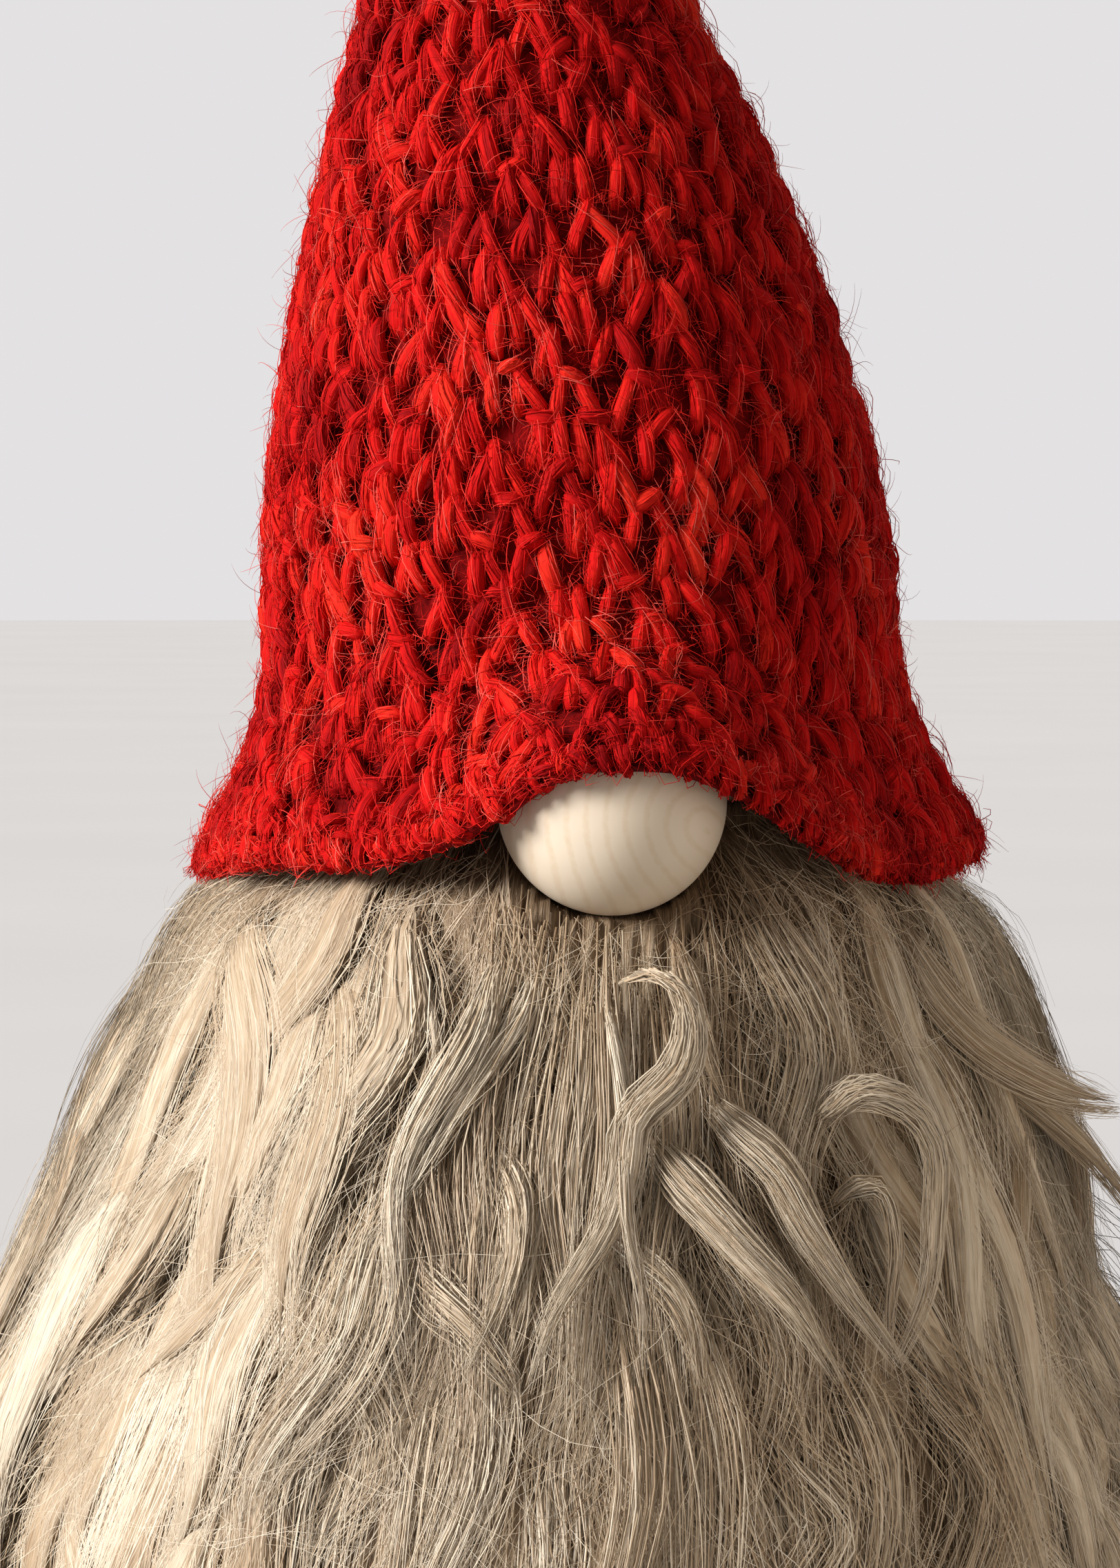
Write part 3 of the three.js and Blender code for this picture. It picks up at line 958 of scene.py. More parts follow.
@dataclass(frozen=True)
class BodyForm:
    """The stuffed body's outer face, a turned shape with a dent for the nose."""

    ball: Ball
    foot_radius: float = 76.0
    belly_radius: float = 66.0
    waist_radius: float = 50.5
    neck_radius: float = 41.0
    foot: float = 2.4
    top: float = 265.0

    @cached_property
    def outline(self) -> Array:
        """Columns of radius and height, from the foot to the crown."""
        knots = [
            (self.foot_radius, self.foot),
            (self.belly_radius, 70),
            (self.waist_radius, 117.5),
            (self.neck_radius, 165),
            (43.5, 195),
            (38, 230),
            (24, 255),
            (10, 263),
            (0.5, self.top),
        ]
        return smooth_line(knots, 200)

    def radius(self, height: Array) -> Array:
        """Returns the body's radius at a height."""
        return np.interp(height, self.outline[:, 1], self.outline[:, 0])

    def place(self, turn: Array, height: Array, out: Array) -> Array:
        """Finds points about the body.

        Args:
            turn: Angle round the body, 0 at the front.
            height: Height above the floor.
            out: Distance outside the cover.

        Returns:
            Places in millimetres.
        """
        radius = self.radius(height) + out
        return np.stack([radius * np.sin(turn), -radius * np.cos(turn), height + 0 * radius], axis=-1)

    def face(self, turn: Array, share: Array, out: Array) -> Array:
        """Finds points on the cover, its turned-in hem included.

        Args:
            turn: Angle round the body, 0 at the front.
            share: Way along the outline, from 0 at the hem's edge to 1 at the crown.
            out: Distance outside the cover, square to it.

        Returns:
            Places in millimetres.
        """
        hem = [(self.foot_radius - 14, self.foot + 0.1), (self.foot_radius - 3, self.foot)]
        line = smooth_line(np.vstack([hem, self.outline[3:]]), 400)
        way = unit(np.gradient(line, axis=0))
        even = np.linspace(0, 1, len(line))
        radius, height, run, climb = (np.interp(share, even, c) for c in (*line.T, *way.T))
        radius = np.maximum(radius + out * climb, 0.3)
        return np.stack([radius * np.sin(turn), -radius * np.cos(turn), height - out * run], axis=-1)

    def clear_of_nose(self, points: Array, ease_off: float) -> Array:
        """Presses points behind the wooden ball.

        Args:
            points: Places in millimetres.
            ease_off: The distance that stays between them and the ball.

        Returns:
            The pressed places.
        """
        x, y, z = np.moveaxis(points, -1, 0)
        reach = self.ball.radius + ease_off
        off = np.hypot(x - self.ball.x, z - self.ball.z)
        back = self.ball.y + np.sqrt(np.maximum(reach**2 - off**2, 0))
        pressed = np.where((off < reach) & (y < 0), np.maximum(y, back), y)
        return np.stack([x, pressed, z], axis=-1)


# ---------------------------------------------------------------- hat


@dataclass(frozen=True)
class Yarn:
    """Loosely spun wool yarn: a core, fibres laid round it and loose ends."""

    radius: float = 1.42
    fibres: int = 8
    fibre_radius: float = 0.12
    loose: int = 5
    loose_radius: float = 0.07
    twist: float = 0.22

    def spun(self, line: Array, out: Array, tone: Array, rng: np.random.Generator) -> dict[str, Strands]:
        """Spins yarn along centre lines.

        Args:
            line: Centre lines, n by k points.
            out: The outward direction at each point.
            tone: Each line's tone.
            rng: Source of random numbers.

        Returns:
            The core, the laid fibres and the loose fibres.
        """
        count, steps, _ = line.shape
        along = unit(np.gradient(line, axis=1))
        side = unit(np.cross(along, out))
        up = np.cross(side, along)
        share = np.linspace(0, 1, steps)
        swell = 0.72 + 0.28 * np.sin(math.pi * share) ** 0.6

        def laid(number: int, spread: tuple[float, float], radius: float, wild: float) -> Strands:
            """Lays fibres round each line.

            Args:
                number: Fibres to each line.
                spread: Least and most distance from the middle, as shares of the yarn's radius.
                radius: The fibre's radius.
                wild: How far a fibre's ends stray from the yarn.

            Returns:
                The fibres.
            """
            away = rng.uniform(*spread, (count, number, 1)) * thick[:, None]
            turn = rng.uniform(0, 2 * math.pi, (count, number, 1))
            turn = turn + 2 * math.pi * self.twist * share * rng.uniform(0.5, 1.3, (count, number, 1))
            away = away * swell + wild * rng.uniform(0, 1, (count, number, 1)) * (2 * share - 1) ** 2
            slip = rng.normal(0, 0.35 + wild, (count, number, 1, 3))
            points = (
                line[:, None]
                + (away * np.cos(turn))[..., None] * side[:, None]
                + (away * np.sin(turn))[..., None] * up[:, None]
                + slip * along[:, None]
            ).reshape(-1, steps, 3)
            tones = (tone[:, None] + rng.normal(0, 0.10, (count, number))).reshape(-1, 1)
            size = radius * rng.uniform(0.75, 1.2, (count * number, 1)) * (
                0.45 + 0.55 * np.sin(math.pi * share) ** 0.5
            )
            return Strands(points, size, tones)

        thick = self.radius * rng.uniform(0.8, 1.12, (count, 1))
        core = Strands(line, 0.88 * thick * swell, (tone - 0.06)[:, None])
        return {
            "core": core,
            "laid": laid(self.fibres, (0.80, 0.98), self.fibre_radius, 0.15),
            "loose": laid(self.loose, (0.9, 1.3), self.loose_radius, 1.2),
        }


@dataclass
class CrochetHat:
    """The red hat: a dark ground with painted shade, fans of crochet stitches, a looped edging and a halo of
    fine hair.
    """

    form: HatForm
    yarn: Yarn = field(default_factory=Yarn)
    row_pitch: float = 6.7
    fan_pitch: float = 10.2
    first_row: float = 6.5
    edge_pitch: float = 2.5
    edge_yarn: Yarn = Yarn(radius=1.0, fibres=8, fibre_radius=0.14)
    surface_hairs: int = 30000
    halo_hairs: int = 2700
    seed: int = 11

    def __post_init__(self) -> None:
        """Starts the random numbers and the finishes."""
        self.rng = np.random.default_rng(self.seed)
        self.light_field = Drift(5, 34)
        red_deep, red, red_light = (0.26, 0.001, 0.003), (0.68, 0.006, 0.006), (0.94, 0.040, 0.018)
        self.yarn_material = FibreFinish(
            "hat_yarn", red_deep, red, red_light, 0.75, 0.1, 0.35,
            streak=0.8, streak_depth=0.0004, softness=0.1,
        ).material()
        self.hair_material = FibreFinish(
            "hat_hair", (0.46, 0.003, 0.005), (0.84, 0.022, 0.015), (0.95, 0.18, 0.14), 0.6, 0.12, 0.2,
            softness=0.4
        ).material()
        # The ground's deep red is partly the felted yarn's own colour and partly painted shade in the holes
        # between the stitches.
        self.shaded_ground_material = FeltFinish(
            "hat_ground_painted_shade", (0.05, 0.0004, 0.001), (0.34, 0.003, 0.004), 420, 0.8
        ).material()

    def build(self) -> list[Object]:
        """Makes all the hat's pieces.

        Returns:
            The pieces.
        """
        ground, area = self.ground()
        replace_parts(ground, "hat_shell")
        edging = self.yarn_pieces("hat_edging_yarn", self.edge_yarn, *self.edge_lines())
        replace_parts(edging[0], "hat_edging")
        made = [
            ground, *edging, *self.yarn_pieces("hat_stitch", self.yarn, *self.stitch_lines()), *self.hairs()
        ]
        for piece in made:
            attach(piece, "hat")
        return made

    def ground(self) -> tuple[Object, float]:
        """Makes the thin closed skin behind the stitches, coloured partly as felted yarn and partly as
        painted shade in the holes between them.

        Returns:
            The piece and the area of its wall in square metres.
        """
        turn, along = np.meshgrid(
            np.linspace(-math.pi, math.pi, 170, endpoint=False),
            np.linspace(1.2, self.form.length - 0.6, 110),
            indexing="ij",
        )
        outer = self.form.place(turn, along, np.full(turn.shape, -2.4))
        bumps = 0.35 * Drift(8, 4).at(outer) + 0.35 * Drift(9, 9).at(outer)
        outer = self.form.place(turn, along, -2.3 + bumps)
        inner = self.form.place(turn, along, -3.5 + 0.3 * Drift(3, 6).at(outer))
        smooth = self.form.place(turn, along, np.full(turn.shape, -3.0))
        mesh = shell_mesh("hat_ground_painted_shade", outer, inner, True)
        return new_object("hat_ground_painted_shade", mesh, self.shaded_ground_material), face_area(smooth)

    def stitch_lines(self) -> tuple[Array, Array, Array]:
        """Lays the fans of stitches, row by row.

        Returns:
            Turn, length up the wall and stand-off of the yarn lines, n by k each.
        """
        rng, steps = self.rng, 6
        share = np.linspace(0, 1, steps)
        rows: list[tuple[Array, Array, Array]] = []
        starts = np.arange(self.first_row, self.form.length - 3, self.row_pitch)
        for number, start in enumerate(starts):
            girth = 2 * math.pi * float(self.form.girth(start + self.row_pitch / 2))
            fans = max(4, round(girth / self.fan_pitch))
            middle = 2 * math.pi * (np.arange(fans) + 0.5 * (number % 2) + 0.17 * number) / fans
            middle = middle + rng.normal(0, 0.6, fans) / girth * 2 * math.pi
            reach = girth / fans
            wander = 1.3 * Drift(31, 40).at(self.form.face(middle, np.full(fans, start)))
            for foot, head, chance in ((-0.31, -0.09, 1.0), (0.31, 0.09, 1.0), (0.02, 0.0, 0.75)):
                kept = rng.random(fans) < chance
                many = int(kept.sum())
                low = (foot + rng.normal(0, 0.10, many)) * reach
                high = (head + rng.normal(0, 0.11, many)) * reach
                sway = low[:, None] + (high - low)[:, None] * ease(share, -0.1, 1.1)
                lift = rng.uniform(0.8, 1.9, (many, 1))
                along = start - 1.3 + (self.row_pitch + rng.uniform(1.0, 2.8, (many, 1))) * share
                along = along + rng.normal(0, 0.7, (many, 1)) + wander[kept][:, None]
                out = -1.8 + lift * np.sin(math.pi * share) ** 0.7 + 0.4 * share
                turn = middle[kept][:, None] + sway / np.maximum(self.form.girth(along), 1.5)
                rows.append((turn, along, out))
            knots = rng.random(fans) < 0.5
            many = int(knots.sum())
            width = rng.uniform(1.3, 2.6, (many, 1))
            tilt = rng.normal(0, 2.6, (many, 1))
            along = start + self.row_pitch + 0.2 + tilt * (share - 0.5) + rng.normal(0, 0.6, (many, 1))
            along = along + wander[knots][:, None]
            turn = middle[knots][:, None] + width * (2 * share - 1) / np.maximum(self.form.girth(along), 1.5)
            out = -0.9 + 0.8 * np.sin(math.pi * share) ** 0.8 + np.zeros((many, 1))
            rows.append((turn, along, out))
        turn, along, out = (np.concatenate(parts) for parts in zip(*rows))
        along = np.minimum(along, self.form.length - 0.4)
        return turn, along, out

    def edge_lines(self) -> tuple[Array, Array, Array]:
        """Lays the edging: loops that wrap the brim's edge, and a round of fat stitches above them.

        Returns:
            Turn, length up the wall and stand-off of the yarn lines, n by k each.
        """
        rng, steps = self.rng, 6
        share = np.linspace(0, 1, steps)
        girth = 2 * math.pi * (self.form.brim_radius + 2)
        loops = round(girth / self.edge_pitch)
        middle = 2 * math.pi * np.arange(loops)[:, None] / loops + rng.normal(0, 0.008, (loops, 1))
        round_edge = math.pi * (1.18 * share - 0.02)
        along = 2.9 - rng.uniform(2.2, 3.2, (loops, 1)) * np.sin(round_edge) + 1.6 * (1 - share)
        out = -1.75 + 1.9 * np.cos(round_edge) + rng.normal(0, 0.3, (loops, 1))
        turn = middle + (rng.uniform(0.4, 3.2, (loops, 1)) * (share - 0.5)) / self.form.brim_radius
        lines = [(turn, along, out)]
        for start, pitch in ((1.6, 3.1), (4.0, 3.1), (6.4, 3.3)):
            many = round(girth / pitch)
            shift = rng.random()
            spot = 2 * math.pi * (np.arange(many)[:, None] + shift) / many
            spot = spot + rng.normal(0, 0.012, (many, 1))
            way = rng.normal(0, 0.75, (many, 1))
            reach = rng.uniform(3.2, 4.8, (many, 1)) * (share - 0.5)
            along = start + 1.6 + rng.normal(0, 0.5, (many, 1)) + reach * np.cos(way)
            turn = spot + reach * np.sin(way) / self.form.brim_radius
            out = -1.5 + rng.uniform(0.9, 1.7, (many, 1)) * np.sin(math.pi * share) ** 0.7
            lines.append((turn, along, out))
        return tuple(np.concatenate(parts) for parts in zip(*lines))

    def yarn_pieces(self, name: str, yarn: Yarn, turn: Array, along: Array, out: Array) -> list[Object]:
        """Makes the yarn that follows lines on the hat.

        Args:
            name: The pieces' name.
            yarn: What it is spun like.
            turn: Angle round the hat at each point.
            along: Length up the wall at each point.
            out: Stand-off at each point.

        Returns:
            The pieces.
        """
        line = self.form.place(turn, along, out)
        normal = self.form.normal(turn, along)
        tone = 0.5 + 0.16 * self.light_field.at(line.mean(axis=1)) + self.rng.normal(0, 0.12, len(line))
        spun = yarn.spun(line, normal, tone, self.rng)
        laid, loose = (np.repeat(normal, number, axis=0) for number in (yarn.fibres, yarn.loose))
        return [
            *Spinner(7, 1.0, 0.07).tubes(f"{name}_core", spun["core"], self.yarn_material, normal),
            *Spinner(3).tubes(f"{name}_fibre", spun["laid"], self.yarn_material, laid),
            *Spinner(3).tubes(f"{name}_wisp", spun["loose"], self.hair_material, loose),
        ]

    def strewn(
        self, count: int, lengths: tuple[float, float], stand: tuple[float, float], steps: int
    ) -> Array:
        """Strews curved hairs over the hat.

        Args:
            count: How many.
            lengths: Least and most length.
            stand: Least and most slope away from the wall.
            steps: Points to each hair.

        Returns:
            The hairs' points, n by k.
        """
        rng = self.rng
        along = rng.uniform(0, self.form.length - 4, 4 * count)
        kept = rng.random(4 * count) < self.form.girth(along) / self.form.brim_radius
        along = along[kept][:count, None]
        count = len(along)
        share = np.linspace(0, 1, steps)
        length = rng.uniform(*lengths, (count, 1)) * rng.uniform(0.6, 1, (count, 1))
        way = rng.uniform(0, 2 * math.pi, (count, 1)) + rng.normal(0, 1.3, (count, 1)) * share
        step = length / (steps - 1)
        up = np.cumsum(np.cos(way) * step, axis=1) - np.cos(way[:, :1]) * step
        sideways = np.cumsum(np.sin(way) * step, axis=1) - np.sin(way[:, :1]) * step
        slope = rng.uniform(*stand, (count, 1))
        out = rng.uniform(-1.0, 0.7, (count, 1)) + slope * length * share * (1 - 0.35 * share)
        along = along + up * np.sqrt(np.maximum(1 - slope**2, 0.05))
        turn = rng.uniform(-math.pi, math.pi, (count, 1)) + sideways / np.maximum(self.form.girth(along), 6)
        return self.form.place(turn, np.clip(along, -1.5, self.form.length - 0.5), out)

    def hairs(self) -> list[Object]:
        """Makes the fuzz on the yarn and the halo of long hairs.

        Returns:
            The pieces.
        """
        rng = self.rng
        near = self.strewn(self.surface_hairs, (2.2, 6.0), (0.0, 0.30), 3)
        halo = self.strewn(self.halo_hairs, (5, 12.5), (0.3, 0.85), 7)
        tones = 0.35 + 0.2 * self.light_field.at(near[:, 0]) + rng.normal(0, 0.18, len(near))
        pale = rng.random(len(halo)) < 0.07
        halo_tones = np.where(pale, 1.0, 0.45 + rng.normal(0, 0.15, len(halo)))
        near_set = Strands(
            near, 0.08 * taper(3)[None] * rng.uniform(0.7, 1.2, (len(near), 1)), tones[:, None]
        )
        halo_set = Strands(
            halo, 0.055 * taper(7)[None] * rng.uniform(0.8, 1.2, (len(halo), 1)), halo_tones[:, None]
        )
        return [
            *Spinner(3).tubes("hat_fuzz", near_set, self.hair_material),
            *Spinner(3).tubes("hat_halo", halo_set, self.hair_material),
        ]


# ---------------------------------------------------------------- nose


@dataclass
class WoodenNose:
    """The turned ball, with the blind hole for its screw."""

    ball: Ball
    bore_radius: float = 2.4
    bore_depth: float = 18.0

    def build(self) -> list[Object]:
        """Makes the ball.

        Returns:
            The piece.
        """
        start = math.asin(self.bore_radius / self.ball.radius)
        angle = np.linspace(start, math.pi, 72, endpoint=False)
        face = np.stack([self.ball.radius * np.sin(angle), self.ball.radius * np.cos(angle)], axis=1)
        depth = self.ball.radius * math.cos(start) - self.bore_depth
        hole = [(0.3, depth), (self.bore_radius - 0.3, depth), (self.bore_radius, depth + 0.4)]
        profile = np.vstack([hole, [(self.bore_radius, face[0, 1] - 0.4)], face])
        turns = 112
        turn = full_turn(turns)
        ring = np.stack(
            [
                profile[:, 0] * np.cos(turn)[:, None] + self.ball.x,
                np.broadcast_to(profile[:, 1], (turns, len(profile))) + self.ball.y,
                profile[:, 0] * np.sin(turn)[:, None] + self.ball.z,
            ],
            axis=-1,
        )
        index = np.arange(turns * len(profile)).reshape(turns, -1)
        wrap = np.vstack([index, index[:1]])
        quads = np.stack([wrap[:-1, :-1], wrap[1:, :-1], wrap[1:, 1:], wrap[:-1, 1:]], axis=-1).reshape(-1, 4)
        mesh = mesh_from("nose_wood", ring.reshape(-1, 3), [quads, index[::-1, 0][None], index[:, -1][None]])
        wood = WoodFinish(
            "nose_wood", (0.95, 0.82, 0.66), (0.87, 0.71, 0.53), 105, 1.6, 0.38, 0.10
        ).material()
        piece = new_object("nose_wood", mesh, wood)
        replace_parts(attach(piece, "figure"), "nose_ball")
        return [piece]


# ---------------------------------------------------------------- beard


@dataclass(frozen=True)
class Lock:
    """One lock of wool along a guide line."""

    knots: tuple[tuple[float, float, float], ...]
    half_width: float
    tone: float = 0.6
    fibres: int = 90
    thickness: float = 0.6
    tips: int = 3
    twist: float = 0.25
    wave: float = 0.0
    core: float = 0.62
    steps: int = 14
    root: float = 0.12


@dataclass
class WoolBeard:
    """The beard: a combed fleece on the hide, soft falling locks, hand-laid locks on top and stray fibres."""

    form: BodyForm
    half_turn: float = math.radians(105)
    top: float = 164.0
    widest: float = 107.0
    seed: int = 23

    def __post_init__(self) -> None:
        """Starts the random numbers and the finishes."""
        self.rng = np.random.default_rng(self.seed)
        tones = ((0.27, 0.165, 0.09), (0.60, 0.455, 0.305), (0.93, 0.82, 0.665))
        self.wool = FibreFinish(
            "beard_wool", *tones, 0.42, 0.4, 0.22, 500.0, streak=0.7, streak_depth=0.0001, softness=0.6
        ).material()
        self.core = FibreFinish(
            "beard_lock_core", (0.25, 0.155, 0.085), (0.56, 0.42, 0.28), (0.86, 0.75, 0.60),
            0.55, 0.3, 0.3, 420.0,
            streak=1.1, streak_depth=0.0005, softness=0.5
        ).material()
        # The fleece is deeper than the locks: partly the under-wool's own colour, partly painted shade in the
        # gaps between the locks.
        self.fleece_and_gap_shade = FibreFinish(
            "beard_fleece", (0.13, 0.08, 0.042), (0.38, 0.265, 0.165), (0.66, 0.53, 0.385), 0.55, 0.3, 0.3,
            200.0,
            streak=1.1, streak_depth=0.0010
        ).material()

    def depth(self, turn: Array, height: Array) -> Array:
        """Finds how far the beard's usual outer face stands off the cover.

        Args:
            turn: Angle round the body, in radians.
            height: Height above the floor.

        Returns:
            The distances. The left flank stands prouder than the right one.
        """
        ends = ease(self.half_turn - np.abs(turn), 0, math.radians(9))
        usual = (16.5 + 6 * ease(160 - height, 0, 150) - 9 * ease(height, 147, 162)) * (0.35 + 0.65 * ends)
        left = np.exp(-(((turn + math.radians(88)) / math.radians(34)) ** 2))
        right = np.exp(-(((turn - math.radians(88)) / math.radians(30)) ** 2))
        under_brim = ease(156 - height, 0, 16)
        proud = left * (4 + 6 * ease(150 - height, 0, 60)) + right * (1 + 5 * ease(height, 80, 120))
        return usual + under_brim * proud * ends

    def laid(self, turn: Array, height: Array, lift: Array) -> Array:
        """Finds points in the beard.

        Args:
            turn: Angle round the body, in radians.
            height: Height above the floor.
            lift: Distance outside the beard's usual face.

        Returns:
            Places in millimetres, none of them wider than the beard may be.
        """
        room = self.widest - self.form.radius(height)
        out = self.depth(turn, height) + lift
        soft = room - 5 + 5 * np.tanh((out - room + 5) / 5)
        return self.form.place(turn, height, np.where(out > room - 5, soft, out))

    def clear(self, points: Array) -> Array:
        """Returns which strands keep out of the wooden ball and of the space before it."""
        ball = self.form.ball
        off = points - (ball.x, ball.y, ball.z)
        through = np.linalg.norm(off, axis=-1) < ball.radius + 0.4
        before = (np.hypot(off[..., 0], off[..., 2]) < ball.radius - 1) & (off[..., 1] < 0)
        return ~(through | before).any(axis=1)

    def lean(self, turn: Array) -> Array:
        """Returns how far the wool leans sideways as it falls, in degrees of turn over a lock."""
        degrees = np.degrees(turn)
        return 0.05 * degrees - 7.0 * np.exp(-(((degrees + 32) / 28) ** 2))

    def shade(self, turn: Array, height: Array) -> Array:
        """Returns the wool's tone with painted light: lighter at the sunlit left, painted shade below the
        nose, painted fill light at the right, and random patches.
        """
        degrees = np.degrees(turn)
        # Painted light: the left flank, which faces the key light, is made lighter.
        left = 0.20 * np.exp(-(((degrees + 78) / 44) ** 2))
        # Painted shade: the wool below the nose is made darker.
        middle = 0.14 * np.exp(-((degrees / 26) ** 2)) * ease(height, 60, 110)
        # Painted fill light: the dim right flank is made lighter.
        right = 0.40 * ease(degrees, 20, 62)
        patches = 0.13 * Drift(46, 34).at(np.stack([turn * 70, height], axis=-1))
        return 0.50 + left - middle + right + patches

    def rows(self) -> list[Lock]:
        """Plans the rows of soft falling locks.

        Returns:
            The locks.
        """
        rng = self.rng
        planned = []
        for root in (162.0, 152.0, 140.0, 126.0, 111.0, 95.0, 78.0, 60.0, 42.0):
            girth = 2 * self.half_turn * (float(self.form.radius(root)) + 17)
            many = round(girth / 14.5)
            for number in range(many):
                turn = math.degrees(self.half_turn) * (2 * (number + rng.uniform(0.1, 0.9)) / many - 1)
                fall = min(rng.uniform(50, 92), root - rng.uniform(5, 12))
                drift = float(self.lean(math.radians(turn))) + rng.normal(0, 3.0)
                sway = rng.normal(0, 2.4)
                lift = rng.uniform(-4.0, 1.8)
                knots = (
                    (turn, root, -9.0),
                    (turn + 0.10 * drift, root - 0.10 * fall, -2.5 + lift),
                    (turn + 0.38 * drift + sway, root - 0.38 * fall, 0.6 + lift),
                    (turn + 0.72 * drift - sway, root - 0.70 * fall, 0.4 + lift),
                    (turn + drift + 0.7 * sway, root - fall, -1.5 + lift),
                )
                spot = np.array([math.radians(turn)]), np.array([root - 0.5 * fall])
                # The lock's tone carries the painted light and shade of shade().
                light = float(self.shade(*spot)[0]) + 0.04 + rng.normal(0, 0.10)
                size = rng.uniform(4.2, 8.5)
                core = 0.55 if abs(turn) > 30 and rng.random() < 0.6 else 0
                planned.append(
                    Lock(
                        knots, size, light, round(34 + 6 * size), 0.42, 4, wave=rng.uniform(0, 1.2),
                        core=core, steps=9,
                    )
                )
        return planned

    def hand_laid(self) -> list[Lock]:
        """Lists the locks that are combed by hand over the rows: turn in degrees, height and lift.

        Returns:
            The locks.
        """
        combed = (
            (7.5, 0.60, 150, (-92, 147, -2), (-92, 134, 0), (-90, 120, 1), (-84, 109, 1), (-80, 99, 1),
             (-82, 87, 1), (-90, 72, 1)),
            (6.0, 0.58, 120, (-98, 142, -4), (-96, 131, -1), (-95, 120, 0), (-95, 110, -1), (-96, 98, 0),
             (-97, 84, 1)),
            (6.5, 0.60, 150, (-68, 152, -5), (-58, 140, 1), (-52, 128, 2), (-50, 115, 2), (-49, 101, 2),
             (-45, 80, 2)),
            (5.2, 0.62, 130, (-46, 143, -5), (-38, 132, 0), (-36, 121, 3), (-37, 110, 4), (-38, 98, 4),
             (-36, 80, 3)),
            (2.7, 0.78, 90, (-15, 148, -5), (-17, 140, 0), (-18, 132, 4), (-22, 122, 6), (-25, 114, 6),
             (-26, 106, 5), (-25, 95, 4), (-23, 82, 3)),
            (2.0, 0.76, 60, (-10, 146, -5), (-12, 136, 0), (-16, 127, 3), (-20, 119, 5), (-24, 109, 5),
             (-28, 99, 4)),
            (0.9, 0.85, 26, (-30, 142, -3), (-25, 133, 2), (-23, 125, 3), (-21, 116, 2)),
            (2.6, 0.66, 80, (-19, 118, -4), (-13, 109, 2), (-12, 101, 4), (-13, 94, 4), (-16, 82, 4)),
            (2.9, 0.72, 110, (0, 138, 3), (3, 140, 6), (7, 138, 8), (8, 132, 9), (6, 125, 9), (1, 119, 8),
             (0, 111, 6), (-2, 103, 5), (-5, 97, 6), (-8, 90, 7), (-10, 80, 7)),
            (1.1, 0.80, 34, (-2, 141, -2), (-1, 131, 4), (0, 121, 5), (0, 112, 7), (0, 103, 8), (1, 93, 7),
             (1, 82, 6)),
            (3.4, 0.72, 120, (3, 119, -5), (6, 111, 4), (9, 105, 7), (12, 99, 8), (16, 91, 8), (20, 80, 7)),
            (3.4, 0.74, 120, (10, 124, -5), (13, 118, 3), (17, 111, 7), (19, 103, 8), (22, 94, 8),
             (27, 82, 7)),
            (2.4, 0.74, 90, (25, 113, -4), (26, 119, 5), (29, 122, 9), (34, 119, 11), (36, 112, 11),
             (34, 102, 10), (32, 93, 8), (27, 82, 6)),
            (1.5, 0.66, 46, (25, 101, -4), (27, 107, 4), (30, 107, 7), (30, 99, 7), (28, 91, 6), (26, 80, 5)),
            (5.0, 0.64, 130, (54, 152, -6), (50, 140, 0), (54, 129, 3), (61, 122, 6), (72, 117, 8),
             (84, 114, 11)),
            (4.0, 0.62, 110, (52, 138, -5), (59, 126, 1), (66, 117, 4), (72, 108, 7), (76, 99, 10),
             (80, 90, 13)),
            (6.0, 0.58, 130, (84, 150, -4), (84, 138, -1), (83, 125, 0), (82, 115, 1), (80, 102, 1),
             (74, 92, 0), (66, 78, 0)),
            (5.0, 0.56, 110, (44, 140, -6), (48, 126, -1), (47, 113, 1), (43, 101, 2), (37, 80, 2)),
            (4.2, 0.54, 100, (68, 126, -6), (63, 115, 0), (59, 106, 1), (53, 95, 1), (45, 79, 2)),
            (4.4, 0.60, 100, (-60, 113, -5), (-57, 105, 1), (-58, 95, 3), (-62, 84, 3), (-66, 73, 3)),
            (3.8, 0.60, 80, (-42, 102, -5), (-43, 95, 1), (-48, 85, 3), (-54, 76, 3)),
            (3.2, 0.64, 70, (-26, 100, -4), (-20, 93, 2), (-16, 88, 3), (-11, 79, 3)),
            (3.0, 0.62, 70, (-4, 104, -4), (3, 97, 1), (6, 90, 2), (7, 79, 2)),
            (2.4, 0.42, 60, (19, 148, -4), (24, 138, 0), (30, 128, 1), (35, 118, 1)),
            (2.2, 0.48, 60, (9, 147, -3), (10, 136, 1), (11, 127, 2), (14, 117, 2)),
            (2.6, 0.64, 70, (-8, 114, -4), (-10, 103, 1), (-11, 94, 2), (-13, 80, 2)),
        )
        return [Lock(tuple(knots), width, tone, fibres) for width, tone, fibres, *knots in combed]

